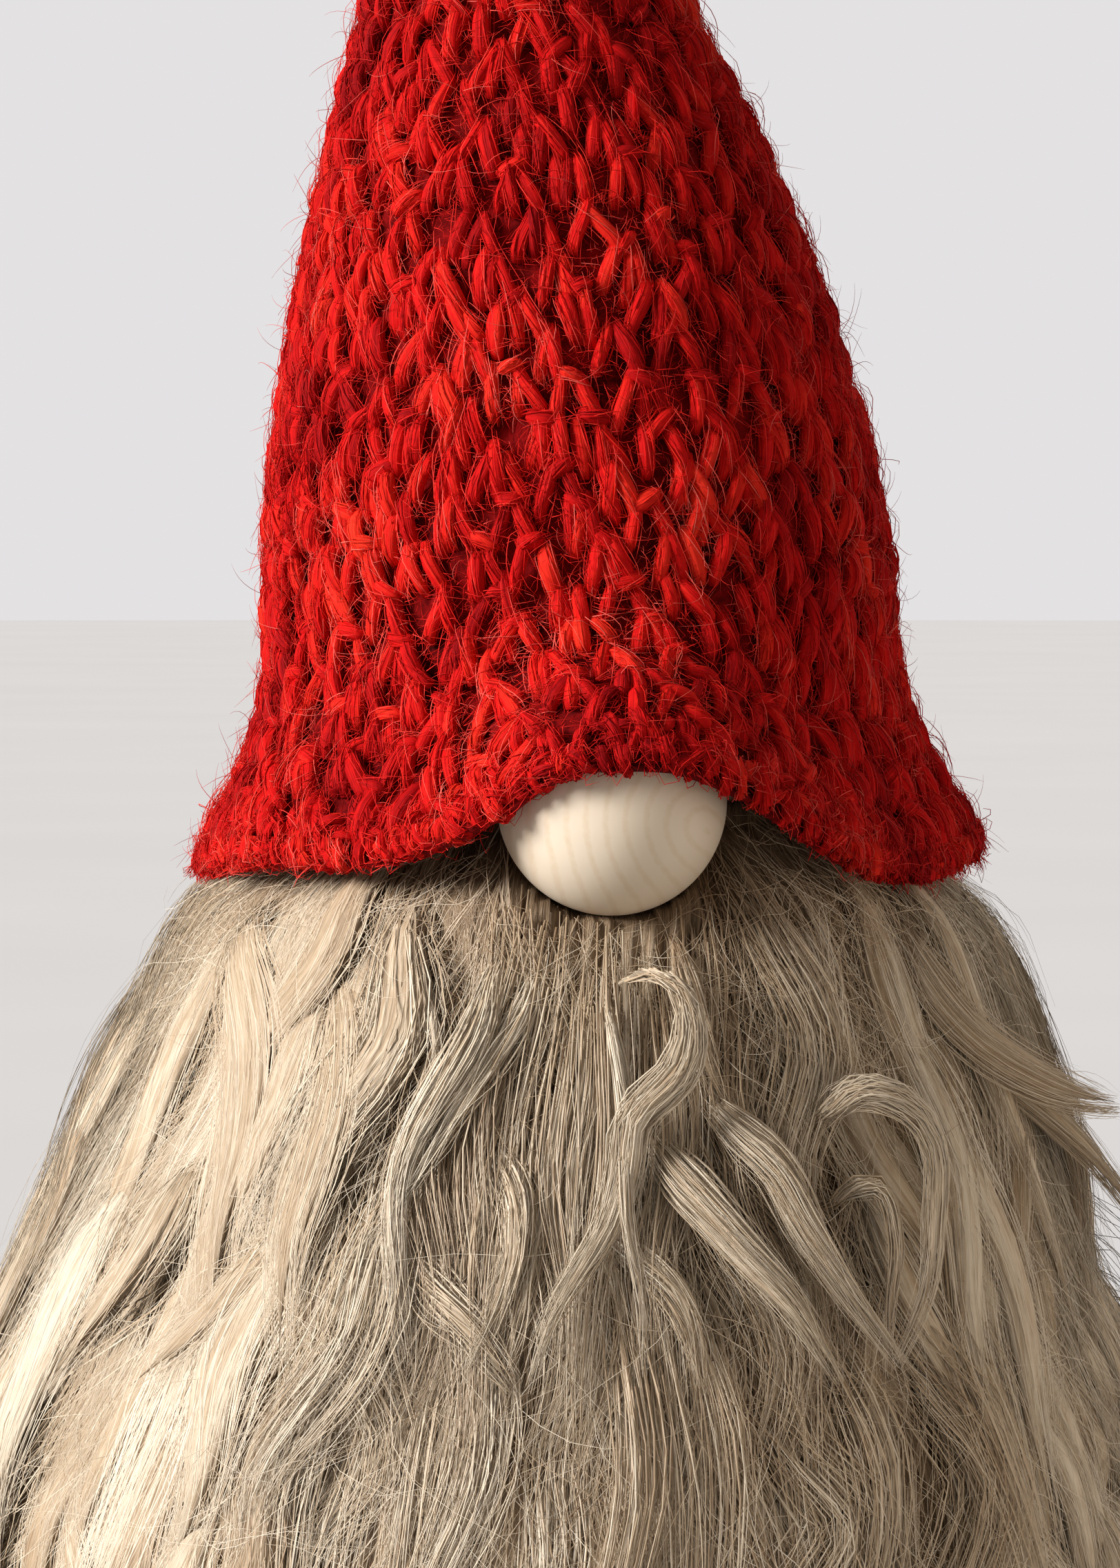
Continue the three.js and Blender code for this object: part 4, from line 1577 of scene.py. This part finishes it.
    def fleece(self, name: str, start: float, end: float) -> Object:
        """Makes one part of the dense combed fleece under the locks, a closed skin.

        Args:
            name: The piece's name.
            start: The turn at which it starts, in degrees.
            end: The turn at which it ends.

        Returns:
            The piece.
        """
        turn, share = np.meshgrid(
            np.radians(np.linspace(start, end, round((end - start) * 2.0))), np.linspace(0, 1, 110),
            indexing="ij"
        )
        height = 8 + (self.top - 8) * share
        spot = self.form.place(turn, height, np.zeros(turn.shape))
        run = turn * 68 + self.lean(turn) * 1.2 * height / 60 + 2.5 * Drift(43, 45).at(spot)
        combed = np.stack([run, height * 0.16], axis=-1)
        bumps = 1.0 * Drift(41, 22).at(spot) + 1.25 * Drift(42, 8).at(combed) + 0.4 * Drift(44, 3).at(combed)
        closing = (1 - ease(share, 0.97, 1.0)) * ease(share, 0.0, 0.03)
        ends = 0.3 + 0.7 * ease(self.half_turn - np.abs(turn), 0, math.radians(9))
        outer = self.form.clear_of_nose(
            self.laid(turn, height, (bumps - 4.4) * ends - 9 * (1 - closing)), 0.5
        )
        inner = self.form.clear_of_nose(self.form.place(turn, height, np.full(turn.shape, 3.2)), 1.0)
        # Tone from shade(), with its painted light and shade, a little deeper as painted shade between the
        # locks, and darker towards the top.
        tone = self.shade(turn, height) - 0.06 - 0.2 * ease(height, 138, 160)
        tone = tone + 0.12 * Drift(45, 30).at(spot) + 0.10 * Drift(42, 8).at(combed)
        mesh = shell_mesh(name, outer, inner, False, tone)
        flow = np.stack([run, height, 0 * run], axis=-1).reshape(-1, 3)
        set_flow(mesh, np.vstack([flow, flow]))
        return new_object(name, mesh, self.fleece_and_gap_shade)

    def loose_wool(self, clumps: int, each: int, heights: tuple[float, float], lengths: tuple[float, float],
                   wild: float, lift: tuple[float, float], steps: int) -> Array:
        """Strews fibres that hang and wander over the beard, alone or in clumps.

        Args:
            clumps: How many clumps.
            each: How many fibres a clump has.
            heights: Least and most height of their roots.
            lengths: Least and most length.
            wild: How far they turn away from hanging straight, in radians.
            lift: Least and most distance outside the usual face.
            steps: Points to each fibre.

        Returns:
            The fibres' points, of those that keep clear of the wooden ball.
        """
        rng, count = self.rng, clumps * each
        share = np.linspace(0, 1, steps)

        def shared(values: Array, spread: float) -> Array:
            """Gives each fibre its clump's value and a little of its own."""
            return np.repeat(values, each)[:, None] + rng.normal(0, spread, (count, 1))

        turn = shared(rng.uniform(-1, 1, clumps) * self.half_turn, 0.02)
        turn = np.clip(turn, -self.half_turn, self.half_turn)
        root = shared(rng.uniform(*heights, clumps), 3.0)
        length = np.minimum(shared(rng.uniform(*lengths, clumps), 3.0), np.maximum(root - 5, 6))
        way = shared(rng.normal(0, wild, clumps), 0.25 * wild)
        way = way + shared(rng.normal(0, wild, clumps), 0.3 * wild) * share
        wave = np.sin(
            share * shared(rng.uniform(4, 10, clumps), 0.3) + shared(rng.uniform(0, 6, clumps), 0.3)
        )
        way = way + 0.5 * wild * wave + 0.02 * self.lean(turn)
        step = length / (steps - 1)
        height = root - np.cumsum(np.cos(way) * step, axis=1)
        sideways = np.cumsum(np.sin(way) * step, axis=1)
        out = shared(rng.uniform(*lift, clumps), 0.5) + rng.uniform(-1.5, 2, (count, 1)) * share
        points = self.laid(turn + sideways / 70, np.maximum(height, 3), out - 3 * (1 - ease(share, 0, 0.3)))
        return points[self.clear(points)]

    def strewn(self, name: str, points: Array, radius: float, tone: float, spread: float) -> list[Object]:
        """Makes loose fibres.

        Args:
            name: The pieces' name.
            points: The fibres' points.
            radius: Their radius.
            tone: Their mean tone.
            spread: How far their tones differ.

        Returns:
            The pieces.
        """
        count, steps, _ = points.shape
        size = radius * taper(steps)[None] * self.rng.uniform(0.7, 1.25, (count, 1))
        x, y, z = np.moveaxis(points, -1, 0)
        # The fibres' tones follow shade(), with its painted light and shade, and are darker towards the top.
        usual = self.shade(np.arctan2(x, -y), z) - 0.5 - 0.12 * ease(z, 130, 158)
        tones = tone + self.rng.normal(0, spread, (count, 1)) + usual
        lie = unit(points * (1, 1, 0) + (0, 0, 1e-3))
        return unshaded(Spinner(3, 0.6).tubes(name, Strands(points, size, tones), self.wool, lie))

    def build(self) -> list[Object]:
        """Makes the beard's pieces.

        Returns:
            The pieces.
        """
        made = []
        rows, laid = self.rows(), self.hand_laid()
        for side, start, end in (("left", -105, -34), ("middle", -34, 34), ("right", 34, 105)):
            fleece = self.fleece(f"beard_fleece_{side}", start, end)
            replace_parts(fleece, f"beard_wool_{side}")
            made.append(fleece)
            for kind, locks in (("soft", rows), ("laid", laid)):
                picked = [lock for lock in locks if start <= lock.knots[0][0] < end]
                mine = [self.wool_of(lock) for lock in picked]
                fibres = Strands.gathered([m[0] for m in mine])
                lies = np.concatenate([m[1] for m in mine])
                strands = Spinner(3, 0.5).tubes(f"beard_{kind}_{side}", fibres, self.wool, lies)
                made += strands if side == "middle" else unshaded(strands)
                cored = [m for m, lock in zip(mine, picked) if lock.core]
                if cored:
                    cores = Strands.gathered([m[2] for m in cored])
                    faces = np.concatenate([m[3] for m in cored])
                    spinner = Spinner(14, 0.6, 0.10)
                    made += spinner.tubes(f"beard_{kind}_cores_{side}", cores, self.core, faces)
        loose = (
            ("beard_mat", (620, 10, (14, 164), (22, 50), 0.30, (-4.5, -0.3), 8), (0.14, 0.48, 0.12)),
            ("beard_fluff", (3800, 1, (128, 166), (12, 32), 0.8, (-5, 1.0), 7), (0.065, 0.40, 0.2)),
            ("beard_stray", (3200, 1, (36, 160), (14, 40), 0.6, (-1.5, 3.5), 8), (0.055, 0.66, 0.25)),
        )
        for name, growth, look in loose:
            made += self.strewn(name, self.loose_wool(*growth), *look)
        for piece in made:
            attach(piece, "figure")
        return made

    def wool_of(self, lock: Lock) -> tuple[Strands, Array, Strands, Array]:
        """Draws a lock.

        Args:
            lock: The lock.

        Returns:
            Its fibres with their outward directions, and its core with its own.
        """
        rng = self.rng
        guide = smooth_line(lock.knots, 40)
        turn, height, lift = np.radians(guide[:, 0]), guide[:, 1], guide[:, 2]
        share = np.linspace(0, 1, len(guide))
        if lock.core and -8 < lift[0] < 0:
            lift = lift - 7 * (1 - ease(share, 0, 0.16))
        line = self.laid(turn, height, lift)
        normal = unit(np.stack([np.sin(turn), -np.cos(turn), 0.25 + 0 * turn], axis=-1))
        along = unit(np.gradient(line, axis=0))
        side = unit(np.cross(along, normal))
        up = np.cross(side, along)
        root = 0.55 if not lock.core else lock.root
        width = lock.half_width * (root + (1 - root) * ease(share, 0, 0.35)) * (1 - 0.55 * share**2.4)
        if lock.wave:
            swing = lock.wave * np.sin(share * 9 + rng.uniform(0, 6)) * ease(share, 0.05, 0.5)
            line = line + swing[:, None] * side

        def fibres(number: int, spread: float, radius: float, stray: float) -> tuple[Strands, Array]:
            """Draws fibres in the lock.

            Args:
                number: How many.
                spread: How widely they lie about the middle, as a share of the half width.
                radius: A fibre's radius.
                stray: How far it may wander.

            Returns:
                The fibres and their outward directions.
            """
            begin = rng.uniform(0, 0.25, (number, 1))
            end = 1 - 0.4 * rng.uniform(0, 1, (number, 1)) ** 1.6
            at = begin + (end - begin) * np.linspace(0, 1, lock.steps)
            spot = rng.normal(0, spread, (number, 2))
            spot = spot / np.maximum(1, np.linalg.norm(spot, axis=1, keepdims=True) / 1.25)
            if lock.core:
                gap = np.linalg.norm(spot, axis=1, keepdims=True)
                reach = np.maximum(lock.core + 0.2 * rng.random((number, 1)), gap)
                spot = spot * reach / np.maximum(gap, 1e-3)
            homes = rng.uniform(-0.7, 0.7, (lock.tips, 2))
            home = homes[np.argmin(np.linalg.norm(spot[:, None] - homes, axis=2), axis=1)]
            pull = 0.7 * at**2
            tip = home[:, None] + 0.3 * spot[:, None]
            flat = spot[:, None] * (1 - pull[..., None]) + tip * pull[..., None]
            roll = 2 * math.pi * lock.twist * at
            a = flat[..., 0] * np.cos(roll) - flat[..., 1] * np.sin(roll)
            b = flat[..., 0] * np.sin(roll) + flat[..., 1] * np.cos(roll)
            wobble = stray * np.sin(at * rng.uniform(5, 14, (number, 1)) + rng.uniform(0, 6, (number, 1)))
            size = np.interp(at, share, width)
            sideways = a * size + wobble * (0.3 + at)
            outward = b * size * lock.thickness + 0.6 * wobble
            place, s, u = (
                np.stack([np.interp(at, share, grid[:, axis]) for axis in range(3)], axis=-1)
                for grid in (line, side, up)
            )
            points = place + sideways[..., None] * s + outward[..., None] * u
            tones = lock.tone + rng.normal(0, 0.12, (number, 1)) - 0.22 * (1 - ease(at, 0, 0.3))
            size = radius * taper(lock.steps, 0.2)[None] * rng.uniform(0.6, 1.25, (number, 1))
            kept = self.clear(points)
            return Strands(points[kept], size[kept], tones[kept]), u[kept]

        parts = [fibres(lock.fibres, 0.55, 0.17, 0.45), fibres(lock.fibres // 4 + 2, 0.9, 0.07, 1.6)]
        core = Strands(
            line[None, ::2],
            lock.core * width[None, ::2] * (1 - ease(share, 0.55, 0.95))[None, ::2] + 0.05,
            np.array([[lock.tone - 0.1]]),
        )
        laid = Strands.gathered([p[0] for p in parts])
        return laid, np.concatenate([p[1] for p in parts]), core, normal[None, ::2]


# ---------------------------------------------------------------- body


@dataclass
class StuffedBody:
    """The grey wool cover with its long pile and seam, the hide under the beard, and the wadding inside."""

    form: BodyForm
    hat_form: HatForm
    half_turn: float = math.radians(105)
    hide_foot: float = 14.0
    hide_top: float = 179.0
    hide_length: float = 170.0
    seed: int = 37

    def __post_init__(self) -> None:
        """Starts the random numbers and the finishes."""
        self.rng = np.random.default_rng(self.seed)
        self.cloth = FeltFinish("cover_wool", (0.15, 0.145, 0.145), (0.44, 0.42, 0.41), 620, 0.5).material()
        self.pile_material = FibreFinish(
            "cover_pile", (0.035, 0.033, 0.035), (0.30, 0.285, 0.28), (0.72, 0.69, 0.66), 0.5, 0.3, 0.3,
            softness=0.4
        ).material()
        self.thread = FibreFinish(
            "cover_thread", (0.05, 0.05, 0.05), (0.14, 0.13, 0.13), (0.3, 0.3, 0.3)
        ).material()
        self.suede = FeltFinish("hide_suede", (0.40, 0.29, 0.19), (0.66, 0.52, 0.37), 900, 0.3).material()
        self.wadding = FeltFinish(
            "wadding", (0.60, 0.55, 0.46), (0.88, 0.85, 0.78), 260, 0.9, 0.002
        ).material()

    def build(self) -> list[Object]:
        """Makes the body's pieces.

        Returns:
            The pieces.
        """
        cover, hide = self.cover(), self.hide()
        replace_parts(cover, "body_cover")
        made = [cover, hide, *self.seams(), *self.pile()]
        made.append(self.body_wad())
        for piece in made:
            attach(piece, "figure")
        hat_wad = self.hat_wad()
        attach(hat_wad, "hat")
        return [*made, hat_wad]

    def cover(self) -> Object:
        """Makes the stuffed cover, a closed skin with its hem turned in."""
        turn, share = grid_of(full_turn(200), np.linspace(0, 1, 150))
        spot = self.form.face(turn, share, np.zeros(turn.shape))
        puckers = 0.22 * Drift(51, 26).at(spot) + 0.10 * Drift(52, 5).at(spot) - 0.35
        outer = self.form.clear_of_nose(self.form.face(turn, share, puckers), 3.2)
        inner = self.form.clear_of_nose(self.form.face(turn, share, np.full(turn.shape, -2.4)), 5.6)
        return new_object("body_cloth", shell_mesh("body_cloth", outer, inner, True), self.cloth)

    def hide(self) -> Object:
        """Makes the thin hide that the wool grows on, sewn to the front of the cover."""
        turn, height = np.meshgrid(
            np.linspace(-self.half_turn, self.half_turn, 120), np.linspace(self.hide_foot, self.hide_top, 90),
            indexing="ij"
        )
        grid = self.form.place(turn, height, np.full(turn.shape, 1.4))
        ripple = 0.15 * Drift(53, 9).at(grid)
        outer = self.form.clear_of_nose(self.form.place(turn, height, 2.3 + ripple), 0.6)
        inner = self.form.clear_of_nose(self.form.place(turn, height, np.full(turn.shape, 0.5)), 2.4)
        hide = new_object("beard_skin", shell_mesh("beard_skin", outer, inner, False), self.suede)
        flat = (2 * self.half_turn * (self.form.radius(self.hide_foot) + 1.4) * MM, self.hide_length * MM)
        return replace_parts(hide, "beard_hide")

    def seams(self) -> list[Object]:
        """Sews the cover's back seam and the hide's edge."""
        rng = self.rng
        rise = np.arange(12, 214, 3.1)
        back = self.stitches(np.full(rise.shape, math.pi), rise, 2.6, 1.3, 0.0)
        around = np.linspace(-self.half_turn, self.half_turn, 46)
        side = np.arange(17, 178, 4.6)
        edges = [
            self.stitches(np.full(side.shape, sign * self.half_turn), side, 2.4, 0.5, 1.2) for sign in (-1, 1)
        ]
        foot = self.stitches(around, np.full(around.shape, 14.5), 0.5, 3.2, 1.2)
        lines = np.concatenate([back, *edges, foot])
        tones = 0.5 + rng.normal(0, 0.2, (len(lines), 1))
        made = Spinner(6).tubes("cover_stitches", Strands(lines, 0.42, tones), self.thread)
        return made

    def stitches(self, turn: Array, height: Array, across: float, climb: float, out: float) -> Array:
        """Lays stitches that cross a seam.

        Args:
            turn: Each stitch's turn.
            height: Each stitch's height.
            across: Half its width.
            climb: Half its rise.
            out: Its stand-off above the cover.

        Returns:
            The threads' points.
        """
        share = np.linspace(-1, 1, 7)
        jitter = self.rng.normal(0, 0.15, (2, len(turn), 1))
        heights = height[:, None] + climb * share + jitter[0]
        turns = turn[:, None] + (across * share + jitter[1]) / self.form.radius(heights)
        return self.form.place(turns, heights, out - 0.9 + 1.9 * np.sqrt(np.maximum(1 - share**2, 0)))

    def pile(self) -> list[Object]:
        """Grows the long pile behind the beard and the tufts that show past its edges."""
        rng = self.rng
        groups = [
            self.grown(5800, (100, 260), (4, 188), (12, 25), (1.5, 6.0)),
            self.grown(700, (82, 108), (10, 118), (24, 44), (14, 33)),
            self.grown(320, (-110, -92), (50, 100), (18, 36), (16, 32)),
        ]
        points = np.concatenate(groups)
        patch = 0.16 * Drift(55, 28).at(points[:, 0])
        tones = 0.55 + patch + rng.normal(0, 0.2, len(points)) - 0.5 * (rng.random(len(points)) < 0.22)
        size = 0.13 * taper(6)[None] * rng.uniform(0.7, 1.3, (len(points), 1))
        made = Spinner(3, 0.7).tubes(
            "cover_pile", Strands(points, size, tones[:, None]), self.pile_material,
            unit(points * (1, 1, 0) + (0, 0, 1e-3))
        )
        return made

    def grown(self, count: int, turns: tuple[float, float], heights: tuple[float, float],
              lengths: tuple[float, float], stand: tuple[float, float]) -> Array:
        """Grows hairs on the cover.

        Args:
            count: How many.
            turns: Least and most turn, in degrees.
            heights: Least and most height of their roots.
            lengths: Least and most length.
            stand: Least and most distance that their tips stand off.

        Returns:
            The hairs' points.
        """
        rng = self.rng
        share = np.linspace(0, 1, 6)
        root = rng.uniform(*heights, (count, 1))
        length = rng.uniform(*lengths, (count, 1))
        out = -0.4 + rng.uniform(*stand, (count, 1)) * np.sin(0.5 * math.pi * share) ** 0.8
        fall = np.sqrt(np.maximum(length**2 - out[:, -1:] ** 2, 9)) * share**1.2
        height = np.maximum(root - fall, 3.0)
        sway = rng.normal(0, 3.0, (count, 1)) * share + rng.normal(0, 1.2, (count, 1)) * np.sin(5 * share)
        turn = np.radians(rng.uniform(*turns, (count, 1))) + sway / 60
        room = 105 - self.form.radius(height)
        return self.form.place(turn, height, np.minimum(out, room))

    def body_wad(self) -> Object:
        """Makes the wadding in the body: a lumpy form that gives way to the nose's washer and screw."""
        low, high = (corner[2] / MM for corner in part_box("body_stuffing"))
        turn, height = grid_of(full_turn(140), np.linspace(low + 0.4, high - 1, 100))
        spot = self.form.place(turn, height, np.zeros(turn.shape))
        rounding = 5 * (1 - ease(height, low, low + 7)) + 3 * ease(height, high - 6, high)
        lumps = 0.9 * Drift(56, 14).at(spot) + 0.4 * Drift(57, 5).at(spot)
        room = self.form.radius(height) - 1.5
        grid = self.form.place(turn, height, -np.minimum(4.4 + rounding - lumps, room))
        grid = self.form.clear_of_nose(grid, 8.5)
        ball = self.form.ball
        near = np.hypot(grid[..., 0] - ball.x, grid[..., 2] - ball.z) < 12
        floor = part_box("nose_screw")[1][1] / MM + 0.8
        grid[..., 1] = np.where(near & (grid[..., 1] < 0), np.maximum(grid[..., 1], floor), grid[..., 1])
        wad = new_object("body_wadding", solid_mesh("body_wadding", grid), self.wadding)
        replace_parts(wad, "body_stuffing")
        return wad

    def hat_wad(self) -> Object:
        """Makes the wad in the hat's point."""
        low, high = (corner[2] / MM - self.form.ball.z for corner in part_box("hat_stuffing"))
        heights = self.hat_form.outline[:, 2]
        start, end = (float(np.interp(z, heights, self.hat_form.outline[:, 0])) for z in (low, high))
        turn, along = grid_of(full_turn(90), np.linspace(start + 1.5, end - 1.5, 50))
        share = (along - start) / (end - start)
        rounding = 5 * (1 - ease(share, 0, 0.14)) + 2 * ease(share, 0.88, 1)
        lumps = 0.8 * Drift(58, 11).at(self.hat_form.face(turn, along))
        grid = self.hat_form.place(turn, along, -5.0 - rounding + lumps)
        wad = new_object("hat_wadding", solid_mesh("hat_wadding", grid), self.wadding)
        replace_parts(wad, "hat_stuffing")
        return wad


@dataclass
class WeightedFoot:
    """The sand pouch, the base board, the felt pad, and the nose's washer and screw."""

    seed: int = 71

    def build(self) -> list[Object]:
        """Makes the pieces and finishes the CAD parts.

        Returns:
            The pieces.
        """
        board = FeltFinish(
            "base_board", (0.36, 0.25, 0.15), (0.60, 0.46, 0.31), 900, 0.25, 0.0002, 0.75
        ).material()
        zinc = ZincFinish("zinc_steel", (0.66, 0.67, 0.69), 0.3).material()
        finished = [dress("base_board", board), dress("nose_washer", zinc), dress("nose_screw", zinc)]
        made = [*self.pouch(), self.pad()]
        for piece in made:
            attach(piece, "figure")
        return [*finished, *made]

    def pouch(self) -> list[Object]:
        """Makes the sewn cotton pouch full of sand, and the stitches round its rim."""
        low, high = (np.array(corner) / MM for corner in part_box("sand_pouch"))
        radius, middle, half = high[0], (low[2] + high[2]) / 2, (high[2] - low[2]) / 2
        angle = np.linspace(-math.pi / 2, math.pi / 2, 34)[1:-1]
        turn, bow = grid_of(full_turn(96), angle)
        reach = (radius - 3) * np.abs(np.cos(bow)) ** 0.55 + 0.4 * np.cos(14 * turn) * np.cos(bow)
        rise = middle + (half - 2) * np.sign(bow) * np.abs(np.sin(bow)) ** 0.8
        grid = np.stack([reach * np.sin(turn), -reach * np.cos(turn), rise], axis=-1)
        cotton = FeltFinish(
            "pouch_cotton", (0.50, 0.44, 0.33), (0.70, 0.63, 0.50), 1100, 0.35, 0.0003
        ).material()
        pouch = new_object("pouch_cloth", solid_mesh("pouch_cloth", grid), cotton)
        swell(pouch, 3.0)
        kept_in(pouch, low + 0.1, high - 0.1, radius - 0.2)
        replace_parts(pouch, "sand_pouch")
        many = 84
        share = np.linspace(-1, 1, 5)
        spot = 2 * math.pi * np.arange(many)[:, None] / many + 0.012 * share
        ring = radius - 2.6 + 1.3 * (1 - share**2) + 0 * spot
        lines = np.stack(
            [ring * np.sin(spot), -ring * np.cos(spot), middle + 2.2 * share + 0 * spot], axis=-1
        )
        tones = np.random.default_rng(self.seed).uniform(0.3, 0.8, (many, 1))
        thread = FibreFinish(
            "pouch_thread", (0.45, 0.40, 0.32), (0.66, 0.60, 0.50), (0.8, 0.76, 0.66)
        ).material()
        sewn = Spinner(6).tubes("pouch_stitches", Strands(lines, 0.35, tones), thread)
        return [pouch, *sewn]

    def pad(self) -> Object:
        """Makes the felt disc that the figure stands on."""
        low, high = (np.array(corner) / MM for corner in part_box("base_pad"))
        radius, thick = high[0], high[2] - low[2]
        edge = np.linspace(-math.pi / 2, math.pi / 2, 9)
        profile = [(reach, low[2]) for reach in np.linspace(1, radius - 1, 24)]
        profile += [(radius - 1 + math.cos(a), low[2] + thick / 2 * (1 + math.sin(a))) for a in edge[1:-1]]
        profile += [(reach, high[2]) for reach in np.linspace(radius - 1, 1, 24)]
        line = np.array(profile)
        turn = full_turn(180)[:, None]
        reach = line[:, 0] + 0.25 * Drift(61, 4).at(
            np.concatenate([np.sin(turn), np.cos(turn)], axis=1) * 75
        )[:, None]
        reach = np.clip(reach, 0.5, radius)
        rise = np.broadcast_to(line[:, 1], reach.shape)
        grid = np.stack([reach * np.sin(turn), -reach * np.cos(turn), rise], axis=-1)
        felt = FeltFinish("pad_felt", (0.05, 0.047, 0.047), (0.20, 0.19, 0.19), 800, 0.5).material()
        pad = new_object("pad_felt_disc", solid_mesh("pad_felt_disc", grid), felt)
        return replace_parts(pad, "base_pad")


# ---------------------------------------------------------------- studio


@dataclass
class Studio:
    """A pale floor, a soft sun from the upper left, a pale surround and the camera."""

    ball: Ball
    azimuth: float = math.radians(-4.6)
    elevation: float = math.radians(2.5)
    distance: float = 900.0
    seen_height: float = 238.0
    floor_radius: float = 12000.0
    floor_level: float = -0.2
    floor_sides: int = 128

    def build(self) -> None:
        """Sets the scene."""
        self.floor()
        self.sky()
        self.sun("key", 4.7, 22, -71, 21, (1.0, 0.97, 0.93))
        self.sun("bounce", 0.21, 110, 76, 2, (1.0, 0.80, 0.60))
        self.card()
        self.camera()
        bpy.context.scene.view_settings.view_transform = "Standard"

    def floor(self) -> None:
        """Lays the floor."""
        turns = full_turn(self.floor_sides)
        corners = self.floor_radius * np.stack([np.cos(turns), np.sin(turns), 0 * turns], axis=-1)
        corners[:, 2] = self.floor_level
        material, graph, shader = start_material("floor")
        place = graph.add("ShaderNodeTexCoord").outputs["Object"]
        noise = graph.add("ShaderNodeTexNoise", {"Vector": place, "Scale": 3.0, "Detail": 3.0})
        colour = graph.ramp(noise.outputs["Fac"], [(0.3, (0.83, 0.83, 0.86)), (0.7, (0.855, 0.855, 0.885))])
        glow = {"Emission Color": (0.75, 0.9, 1.0), "Emission Strength": 0.03}
        graph.feed(shader, {"Base Color": colour, **glow, "Roughness": 1.0, "Specular IOR Level": 0.0})
        mesh = mesh_from("floor", corners, [np.arange(self.floor_sides)[None]])
        laid = new_object("floor", mesh, material)
        laid.visible_diffuse = False

    def sky(self) -> None:
        """Sets a pale surround that lights the shaded side only weakly."""
        world = bpy.data.worlds.new("studio")
        world.use_nodes = True
        graph = Graph(world.node_tree)
        seen = graph.add("ShaderNodeLightPath").outputs["Is Camera Ray"]
        lit = graph.feed(world.node_tree.nodes["Background"], {"Color": (1.0, 0.93, 0.85), "Strength": 0.28})
        shown = graph.add("ShaderNodeBackground", {"Color": (0.770, 0.755, 0.765, 1)})
        mix = graph.add("ShaderNodeMixShader", {0: seen, 1: lit.outputs[0], 2: shown.outputs[0]})
        world.node_tree.links.new(mix.outputs[0], world.node_tree.nodes["World Output"].inputs["Surface"])
        bpy.context.scene.world = world

    def sun(self, name: str, energy: float, spread: float, away: float, up: float, colour: Colour) -> None:
        """Hangs a soft far light.

        Args:
            name: The light's name.
            energy: Its strength.
            spread: How wide it looks from the figure, in degrees.
            away: How far round from the front it hangs, to the right, in degrees.
            up: How high it hangs, in degrees.
            colour: Its colour.
        """
        light = bpy.data.lights.new(name, "SUN")
        light.energy = energy
        light.angle = math.radians(spread)
        light.color = colour
        holder = bpy.data.objects.new(name, light)
        away, up = math.radians(away), math.radians(up)
        toward = Vector((math.sin(away) * math.cos(up), -math.cos(away) * math.cos(up), math.sin(up)))
        holder.rotation_euler = toward.to_track_quat("Z", "Y").to_euler()
        bpy.context.scene.collection.objects.link(holder)

    def card(self) -> None:
        """Stands a small warm reflector low at the right, out of sight."""
        light = bpy.data.lights.new("card", "AREA")
        light.shape = "RECTANGLE"
        light.size, light.size_y = 0.26, 0.16
        light.energy = 0.044
        light.spread = math.radians(95)
        light.color = (1.0, 0.82, 0.62)
        holder = bpy.data.objects.new("card", light)
        place, aim = Vector((0.240, -0.150, 0.055)), Vector((0.030, -0.040, 0.085))
        holder.location = place
        holder.rotation_euler = (place - aim).to_track_quat("Z", "Y").to_euler()
        holder.visible_camera = False
        bpy.context.scene.collection.objects.link(holder)

    def camera(self) -> None:
        """Places the camera, level with the nose and slightly to its left."""
        right = Vector((math.cos(self.azimuth), math.sin(self.azimuth), 0))
        level = Vector((math.sin(self.azimuth), -math.cos(self.azimuth), 0))
        toward = level * math.cos(self.elevation) + Vector((0, 0, math.sin(self.elevation)))
        target = Vector((self.ball.x, self.ball.y, self.ball.z)) - 7.85 * right + Vector((0, 0, 2.5))
        lens = bpy.data.cameras.new("camera")
        lens.sensor_width = 36.0
        lens.lens = lens.sensor_width * self.distance / self.seen_height
        lens.clip_end = 100.0
        holder = bpy.data.objects.new("camera", lens)
        holder.location = (target + toward * self.distance) * MM
        holder.rotation_euler = toward.to_track_quat("Z", "Y").to_euler()
        bpy.context.scene.collection.objects.link(holder)
        bpy.context.scene.camera = holder


def main() -> None:
    """Builds and reports every sub-assembly."""
    logging.basicConfig(level=logging.INFO, format="%(name)s: %(message)s")
    ball = Ball.of_node("nose_ball")
    hat_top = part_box("hat_shell")[1][2] / MM
    hat_form = HatForm(ball, hat_top - ball.z)
    Studio(ball).build()
    body_form = BodyForm(ball)
    parts = (
        WeightedFoot(), StuffedBody(body_form, hat_form), WoodenNose(ball), WoolBeard(body_form),
        CrochetHat(hat_form)
    )
    for part in parts:
        for piece in part.build():
            LOG.info("%s: %s, %d faces", type(part).__name__, piece.name, len(piece.data.polygons))


if __name__ == "__main__":
    main()
